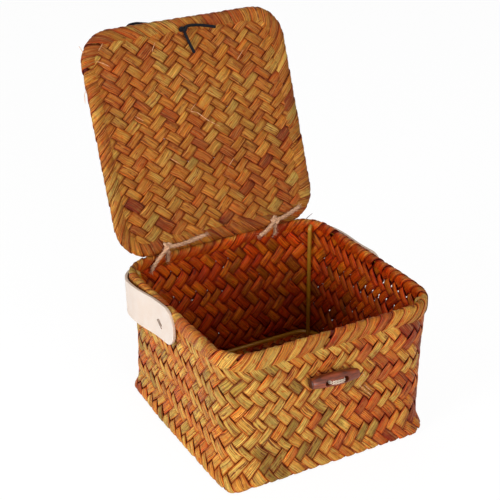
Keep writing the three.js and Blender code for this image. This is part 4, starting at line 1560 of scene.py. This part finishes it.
class BendHoops(bpy.types.Operator):
    """Bend the three wire hoops and the four corner posts"""

    bl_idname = "plaited_box.hoops"
    bl_label = "Hoops and Posts"

    hoop_radius = 1.3
    base_radius = 2.0
    base_half = 92.6
    base_corner = 18.0
    base_height = 4.9

    # The posts: which way each stands from the middle, and how far its top is shifted outwards
    posts = (("front_left", -1, -1, 0.0), ("front_right", 1, -1, 0.0), ("back_left", -1, 1, 2.4),
             ("back_right", 1, 1, 0.0))
    post_radius = 1.9
    post_top = HOOP_LEVEL - 0.8
    hook_angle = math.radians(38)

    def execute(self, context):
        wire = wire_material("coated_wire")
        turns = np.linspace(0, 1, 240, endpoint=False)
        x, y = round_square(ROLL_HALF, HOOP_CORNER, turns)
        rim = np.stack([x, y, 0 * x + HOOP_LEVEL], axis=1)
        lid = lid_point(x * LID_NARROW + LID_SHIFT, ROLL_HALF - y, 0 * x)
        x, y = round_square(self.base_half, self.base_corner, turns)
        base = np.stack([x, y, 0 * x + self.base_height], axis=1)
        self.hoop("rim_hoop", rim, self.hoop_radius, wire, "box", "rim_wire")
        self.hoop("lid_hoop", lid, self.hoop_radius, wire, "lid", "lid_wire")
        # The base hoop's wire is lightened as painted light, standing in the box's shade
        self.hoop("base_hoop", base, self.base_radius, wire_material("base_wire", 1.5), "box", "base_wire")
        for name, side_x, side_y, shift in self.posts:
            post = Gathered()
            line = eased(self.post_line(side_x, side_y, shift), 2.2, 2.0)
            add_tube(post, line, self.post_radius, 14)
            seat(post.piece(f"post_{name}", wire), "box", "hoop_wire", f"corner_post_{name}")
        return {"FINISHED"}

    def hoop(self, name, line, radius, material, body, node):
        gathered = Gathered()
        add_tube(gathered, line, radius, 12, closed=True)
        seat(gathered.piece(name, material), body, "hoop_wire", node)

    def post_line(self, side_x, side_y, shift):
        """From the foot up to the rim's fold, bowed a little inwards, with a hook over the hoop"""
        foot = np.array((side_x * 86.0, side_y * 84.2, 2.7))
        top = np.array((side_x * (86.9 + shift), side_y * (83.2 - 1.2 * shift), self.post_top))
        reach = 1.6 * (ROLL - 0.3)
        hook = (top[0] + side_x * reach * math.cos(self.hook_angle),
                top[1] + side_y * reach * math.sin(self.hook_angle), self.post_top)
        inwards = np.array([-side_x * 0.5, -side_y * 0.5, 0])
        bow = [foot + (top - foot) * t + inwards * math.sin(math.pi * t) for t in np.linspace(0, 1, 9)]
        return [*bow, hook]


# Toggle


# The middle of the toggle, which leans a little to one side and back
TOGGLE_PLACE = (Matrix.Translation(Vector((-6.9, -103.9, 82.0)) * MM)
                @ Matrix.Rotation(math.radians(4), 4, "Y") @ Matrix.Rotation(math.radians(-2), 4, "X"))


def toggle_point(x, y, z):
    """A place on the toggle, along it, back from its middle and up"""
    place = TOGGLE_PLACE @ Vector((x * MM, y * MM, z * MM))
    return np.array(place) / MM


class TurnToggle(bpy.types.Operator):
    """Turn the toggle, drill its two holes and sew it on"""

    bl_idname = "plaited_box.toggle"
    bl_label = "Toggle"

    # Places along the toggle and its radius there
    profile = ((-22.2, 0.0), (-22.2, 3.1), (-21.8, 3.85), (-20.8, 4.3), (-18.0, 4.75), (-13.0, 5.3),
               (-7.0, 5.75), (0.0, 5.9), (7.0, 5.75), (13.0, 5.3), (18.0, 4.75), (21.6, 4.25), (22.6, 3.85),
               (23.0, 3.1), (23.0, 0.0))
    hole_radius = 2.9
    hole_from_middle = 8.2

    # The twine: its diameter and lay, and the shift and depth of each of its two turns
    twine_diameter = 1.5
    twine_lay = 5.0
    twine_turns = ((-0.7, 10.6), (0.7, 10.4))

    def execute(self, context):
        self.turn_barrel(context)
        self.sew(context)
        return {"FINISHED"}

    def turn_barrel(self, context):
        deselect()
        mesh = bpy.data.meshes.new("toggle_barrel")
        mesh.from_pydata([(x * MM, 0.0, radius * MM) for x, radius in self.profile],
                         [(i, i + 1) for i in range(len(self.profile) - 1)], [])
        barrel = bpy.data.objects.new("toggle_barrel", mesh)
        context.scene.collection.objects.link(barrel)
        pick(barrel)
        bpy.ops.object.mode_set(mode="EDIT")
        bpy.ops.mesh.select_all(action="SELECT")
        bpy.ops.mesh.spin(steps=40, angle=TURN, center=(0.0, 0.0, 0.0), axis=(1.0, 0.0, 0.0))
        bpy.ops.mesh.select_all(action="SELECT")
        bpy.ops.mesh.remove_doubles(threshold=0.02 * MM)
        bpy.ops.mesh.normals_make_consistent(inside=False)
        bpy.ops.object.mode_set(mode="OBJECT")
        for sign in (-1, 1):
            self.drill(context, barrel, sign * self.hole_from_middle)
        soften_edges(barrel, 0.35, 38)
        apply_all(barrel)
        self.wear(barrel)
        pick(barrel)
        bpy.ops.object.shade_smooth_by_angle(angle=math.radians(40))
        barrel.data.materials.append(toggle_material())
        seat(barrel, "box", "toggle_wood", "toggle")

    def drill(self, context, barrel, x):
        bpy.ops.mesh.primitive_cylinder_add(
            vertices=32, radius=self.hole_radius * MM, depth=30 * MM, location=(x * MM, 0.0, 0.0),
            rotation=(TURN / 4, 0.0, 0.0))
        drill = context.object
        cut = barrel.modifiers.new("hole", "BOOLEAN")
        cut.operation = "DIFFERENCE"
        cut.solver = "EXACT"
        cut.object = drill
        apply_all(barrel)
        bpy.data.objects.remove(drill)

    def wear(self, barrel):
        """Slight facets, as carved by hand, and the grain's own map and end mark"""
        mesh = barrel.data
        layer = mesh.uv_layers.new(name="strip")
        ends = mesh.attributes.new("end", "FLOAT", "POINT")
        points = np.array([vertex.co for vertex in mesh.vertices]) / MM
        spin = np.arctan2(points[:, 2], points[:, 1])
        radius = np.hypot(points[:, 1], points[:, 2])
        for loop in mesh.loops:
            place = points[loop.vertex_index]
            around = 6 * math.sin(spin[loop.vertex_index] * 0.5) + place[2] * 0.6
            layer.data[loop.index].uv = (place[0], around)
        from_middle = np.abs(points[:, 0])
        ends.data.foreach_set("value", ((from_middle > 21.7) & (radius < 4.0)).astype(np.float32))
        carved = 1 + 0.012 * np.sin(5 * spin + points[:, 0] * 0.12) * (from_middle < 21)
        points[:, 1] *= carved
        points[:, 2] *= carved * 0.97
        placed = [TOGGLE_PLACE @ Vector(point * MM) for point in points]
        mesh.vertices.foreach_set("co", np.array(placed, np.float32).ravel())
        mesh.update()

    def sew(self, context):
        """Two turns of twine in front, through both holes, and their knot inside the wall"""
        cord = context.scene.box_cord
        rng = random.Random("toggle twine")
        gathered = Gathered()
        for shift, back in self.twine_turns:
            route = [(0.0, back + 1.6, shift - 1.6), (7.4, back, shift - 1.4), (7.4, -4.2, shift - 0.4),
                     (5.2, -5.8, shift * 1.2 - 0.2), (0.0, -6.4, shift * 1.4), (-4.2, -5.8, shift * 1.2),
                     (-6.0, -4.2, shift), (-6.4, back, shift - 1.4), (0.0, back + 1.6, shift - 1.6)]
            line = eased([toggle_point(*place) for place in route], 2.0, 0.4)
            add_strands(gathered, line, self.twine_diameter, self.twine_lay, rng)
        knot = knot_line(toggle_point(0.0, 12.6, -1.8), 2.0, (1.2, 0.3))
        add_strands(gathered, knot, self.twine_diameter, self.twine_lay, rng)
        material = twine_material("pale_twine", cord.pale_twine, cord.pale_twine_shade)
        twine = gathered.piece("toggle_twine_strands", material)
        seat(twine, "box", "twine", "toggle_twine")


# Straps


# A strap's size, and the radius of its rounded ends
STRAP_LONG = 140.0
STRAP_HIGH = 33.0
STRAP_THICK = 2.3
STRAP_ROUND = 15.0

# How far a strap runs along the side before it bends, how it tilts, and its depth below the rim
STRAP_RUN = 83.0
STRAP_TILT = math.radians(4.7)
STRAP_DROP = 16.0

# How far a strap bows out between its stitches, and the share of the tilt that the right one has
STRAP_BOW = 3.2
RIGHT_TILT = 0.75

# The stitches: where they sit on a strap, and how they slant
STITCH_FROM_TIP = 27.0
STITCH_BELOW = 2.1
STITCH_SHIFT = 1.8
STITCH_SLANT = math.radians(40)


def on_strap(sign, from_tip, up, out):
    """A place on a strap: from its front tip, up from its middle line, out from its inner face"""
    between = min(1.0, max(0.0, (from_tip - STITCH_FROM_TIP) / (STRAP_LONG - 2 * STITCH_FROM_TIP)))
    bow = STRAP_BOW * math.sin(math.pi * between) ** 2 + 0.4 * float(bend_in((from_tip - 85) / 30))
    tilt = STRAP_TILT if sign < 0 else STRAP_TILT * RIGHT_TILT
    level = BOX_TOP - STRAP_DROP - (from_tip - STITCH_FROM_TIP) * math.sin(tilt) + up * math.cos(tilt)
    past = from_tip * math.cos(STRAP_TILT) + up * math.sin(STRAP_TILT) - STRAP_RUN
    bend = RIM_CORNER + 0.3
    turn = min(TURN / 4, max(0.0, past / bend))
    straight = past - turn * bend
    radius = bend + out + bow
    centre = HALF - RIM_CORNER
    return np.array([
        sign * (centre + radius * math.cos(turn) - straight * math.sin(turn)),
        centre + radius * math.sin(turn) + straight * math.cos(turn),
        level])


class CutStraps(bpy.types.Operator):
    """Cut the two leather straps, bend them round the back corners and sew them to the walls"""

    bl_idname = "plaited_box.straps"
    bl_label = "Straps"

    # The thread: its radius, and the shift and half length of each of its two turns
    thread_radius = 0.26
    thread_turns = ((-1.25, 5.3), (1.05, 4.0))

    def execute(self, context):
        leather = strap_material()
        thread = thread_material()
        for side, sign in (("left", -1), ("right", 1)):
            strap = self.cut(side, sign)
            strap.data.materials.append(leather)
            seat(strap, "box", "strap_leather", f"handle_{side}")
            for end, direction in (("front", 1), ("back", -1)):
                self.stitch(side, sign, end, direction, thread)
        return {"FINISHED"}

    def cut(self, side, sign):
        """A flat outline with rounded ends, cut into bands, thickened, softened and bent to its place"""
        deselect()
        bpy.ops.mesh.primitive_plane_add(size=1.0, location=(0.0, 0.0, 0.0))
        strap = bpy.context.object
        strap.name = f"strap_{side}"
        strap.data.name = strap.name
        strap.scale = (STRAP_LONG * MM, STRAP_HIGH * MM, 1.0)
        settle(strap)
        bpy.ops.object.mode_set(mode="EDIT")
        bpy.ops.mesh.select_all(action="SELECT")
        bpy.ops.mesh.bevel(offset=STRAP_ROUND * MM, segments=12, affect="VERTICES")
        half = STRAP_LONG / 2
        along_cuts = [Vector((place, 0, 0)) for place in np.arange(2 - half, half - 1, 2.0)]
        across_cuts = [Vector((0, place, 0)) for place in (-12, -8, -4, 0, 4, 8, 12)]
        for places, facing in ((along_cuts, (1.0, 0.0, 0.0)), (across_cuts, (0.0, 1.0, 0.0))):
            for place in places:
                bpy.ops.mesh.select_all(action="SELECT")
                bpy.ops.mesh.bisect(plane_co=place * MM, plane_no=facing)
        bpy.ops.object.mode_set(mode="OBJECT")
        thicken = strap.modifiers.new("thicken", "SOLIDIFY")
        thicken.thickness = STRAP_THICK * MM
        thicken.offset = 1.0
        soften_edges(strap, 0.45, 50)
        apply_all(strap)
        self.mark_edges(strap)
        low = min(vertex.co.z for vertex in strap.data.vertices) / MM
        for vertex in strap.data.vertices:
            along, up, out = (value / MM for value in vertex.co)
            sunk = self.pulled_in(along, up)
            vertex.co = on_strap(sign, along + half, up, out - low - sunk) * MM
        pick(strap)
        bpy.ops.object.mode_set(mode="EDIT")
        bpy.ops.mesh.select_all(action="SELECT")
        bpy.ops.mesh.normals_make_consistent(inside=False)
        bpy.ops.object.mode_set(mode="OBJECT")
        bpy.ops.object.shade_smooth_by_angle(angle=math.radians(35))
        return strap

    def pulled_in(self, along, up):
        """How far the stitches pull the leather in"""
        away = math.hypot(abs(along) - (STRAP_LONG / 2 - STITCH_FROM_TIP), up + STITCH_BELOW)
        return 0.3 * math.exp(-(away / 6) ** 2)

    def mark_edges(self, strap):
        layer = strap.data.attributes.new("edge", "FLOAT", "POINT")
        turned = np.array([1 - abs(vertex.normal.z) for vertex in strap.data.vertices])
        layer.data.foreach_set("value", np.clip(turned * 1.6, 0, 1).astype(np.float32))

    def stitch(self, side, sign, end, direction, thread):
        """Two turns of thread through the strap and the wall, and their knot inside"""
        from_tip = STITCH_FROM_TIP - STITCH_SHIFT if direction > 0 else STRAP_LONG - STITCH_FROM_TIP
        inside = -4.6
        outside = STRAP_THICK + 0.22
        hole = outside - 0.7
        gathered = Gathered()
        for shift, half in self.thread_turns:
            route = [(inside, 0.0), (inside, half), (hole, half), (outside, half - 1.0),
                     (outside, 1.0 - half), (hole, -half), (inside, -half), (inside, 0.0)]
            points = []
            for out, along in route:
                run = direction * (along * math.cos(STITCH_SLANT) - shift * math.sin(STITCH_SLANT))
                rise = along * math.sin(STITCH_SLANT) + shift * math.cos(STITCH_SLANT)
                points.append(on_strap(sign, from_tip + run, rise - STITCH_BELOW, out))
            add_tube(gathered, eased(points, 0.6, 0.25), self.thread_radius, 8)
        centre = on_strap(sign, from_tip, -STITCH_BELOW, inside - 0.3)
        add_tube(gathered, knot_line(centre, 0.9, (1.5, 0.5), 0.25), 0.3, 8)
        piece = gathered.piece(f"strap_stitch_{side}_{end}", thread)
        seat(piece, "box", "stitch_thread", f"handle_stitch_{side}_{end}")


# Splinters


class RaiseSplinters(bpy.types.Operator):
    """Raise the fine splinters that have sprung from the strips"""

    bl_idname = "plaited_box.splinters"
    bl_label = "Splinters"

    # Lines over the lid's inner face, across and in from the hinge line
    on_lid = (
        [(0.3, 121.4), (-6.6, 115.3), (-1.0, 112.9), (7.4, 105.0), (18.6, 96.8)],
        [(-75.4, 186.9), (-81.4, 180.7)],
        [(-86.0, 172.2), (-80.5, 169.9), (-74.0, 165.5)],
        [(-28.2, 179.7), (-32.8, 172.0)],
        [(-95.2, 180.4), (-96.4, 183.4), (-98.2, 187.0)],
        [(-99.6, 149.6), (-101.6, 146.0), (-102.8, 138.4)],
        [(48.0, 152.2), (55.9, 160.1)],
        [(-35.1, 78.2), (-26.7, 71.2)],
        [(20.0, 60.0), (27.0, 66.5)],
        [(-60.0, 120.0), (-53.0, 114.5)],
    )

    # Lines over the front, across and up
    on_front = (
        [(24.5, 74.4), (27.6, 69.2)],
        [(23.9, 66.0), (22.5, 62.9), (26.8, 58.0), (33.9, 50.2)],
        [(26.8, 62.0), (30.5, 58.0), (34.2, 53.8)],
    )

    # Loose dark ends at the back of the rim
    on_rim = (
        [(87.9, 97.0, 118.1), (93.4, 97.0, 121.9), (98.4, 97.0, 124.7)],
        [(91.2, 97.0, 120.4), (93.6, 97.2, 121.9), (95.6, 97.0, 123.0)],
    )

    # How far the first two lie from the lid's middle and from the middle of the box
    lid_depth = 2.5
    front_depth = 97.3

    def execute(self, context):
        fibre = splinter_material()
        lid = Gathered()
        for line in self.on_lid:
            self.add(lid, [lid_point(x, reach, -self.lid_depth) for x, reach in line])
        seat(lid.piece("lid_splinters", fibre), "lid", "lid_weave")
        front = Gathered()
        for line in self.on_front:
            self.add(front, [(x, -self.front_depth, z) for x, z in line])
        seat(front.piece("wall_splinters", fibre), "box", "leaf_weave")
        rim = Gathered()
        for line in self.on_rim:
            self.add(rim, line)
        dark = leaf_material("dark_fibre", tone_shift=0.45, shade=0.7)
        seat(rim.piece("rim_splinters", dark), "box", "leaf_fold")
        return {"FINISHED"}

    def add(self, gathered, points):
        line = curved(points, 0.7)
        taper = np.sin(np.linspace(0.06, 0.97, len(line)) * math.pi) ** 0.5
        add_tube(gathered, line, 0.25 * taper + 0.05, 5, tone=0.8, shade=0.7, seed=0.3, edge=0.0, dip=0.0,
                 inner=0.0)


class BoxPanel(bpy.types.Panel):
    """Lists the pieces of the box and their sizes and colours"""

    bl_idname = "VIEW3D_PT_plaited_box"
    bl_label = "Plaited Box"
    bl_space_type = "VIEW_3D"
    bl_region_type = "UI"
    bl_category = "Plaited Box"

    def draw(self, context):
        for operator in OPERATORS:
            self.layout.operator(operator.bl_idname)
        for name, settings in SETTINGS.items():
            area = self.layout.box()
            for prop in settings.__annotations__:
                area.prop(getattr(context.scene, name), prop)


OPERATORS = (
    PrepareStage, TieHinge, ThreadElastic, PlaitWalls, PlaitFloor, PlaitLid, FoldRim, FoldLid, BendHoops,
    TurnToggle, CutStraps, RaiseSplinters,
)


def register():
    for item in (*SETTINGS.values(), *OPERATORS, BoxPanel):
        bpy.utils.register_class(item)
    for name, settings in SETTINGS.items():
        setattr(bpy.types.Scene, name, bpy.props.PointerProperty(type=settings))


def unregister():
    for name in SETTINGS:
        delattr(bpy.types.Scene, name)
    for item in reversed((*SETTINGS.values(), *OPERATORS, BoxPanel)):
        bpy.utils.unregister_class(item)


def main():
    register()
    deselect()
    for operator in OPERATORS:
        group, name = operator.bl_idname.split(".")
        getattr(getattr(bpy.ops, group), name)()


if __name__ == "__main__":
    main()
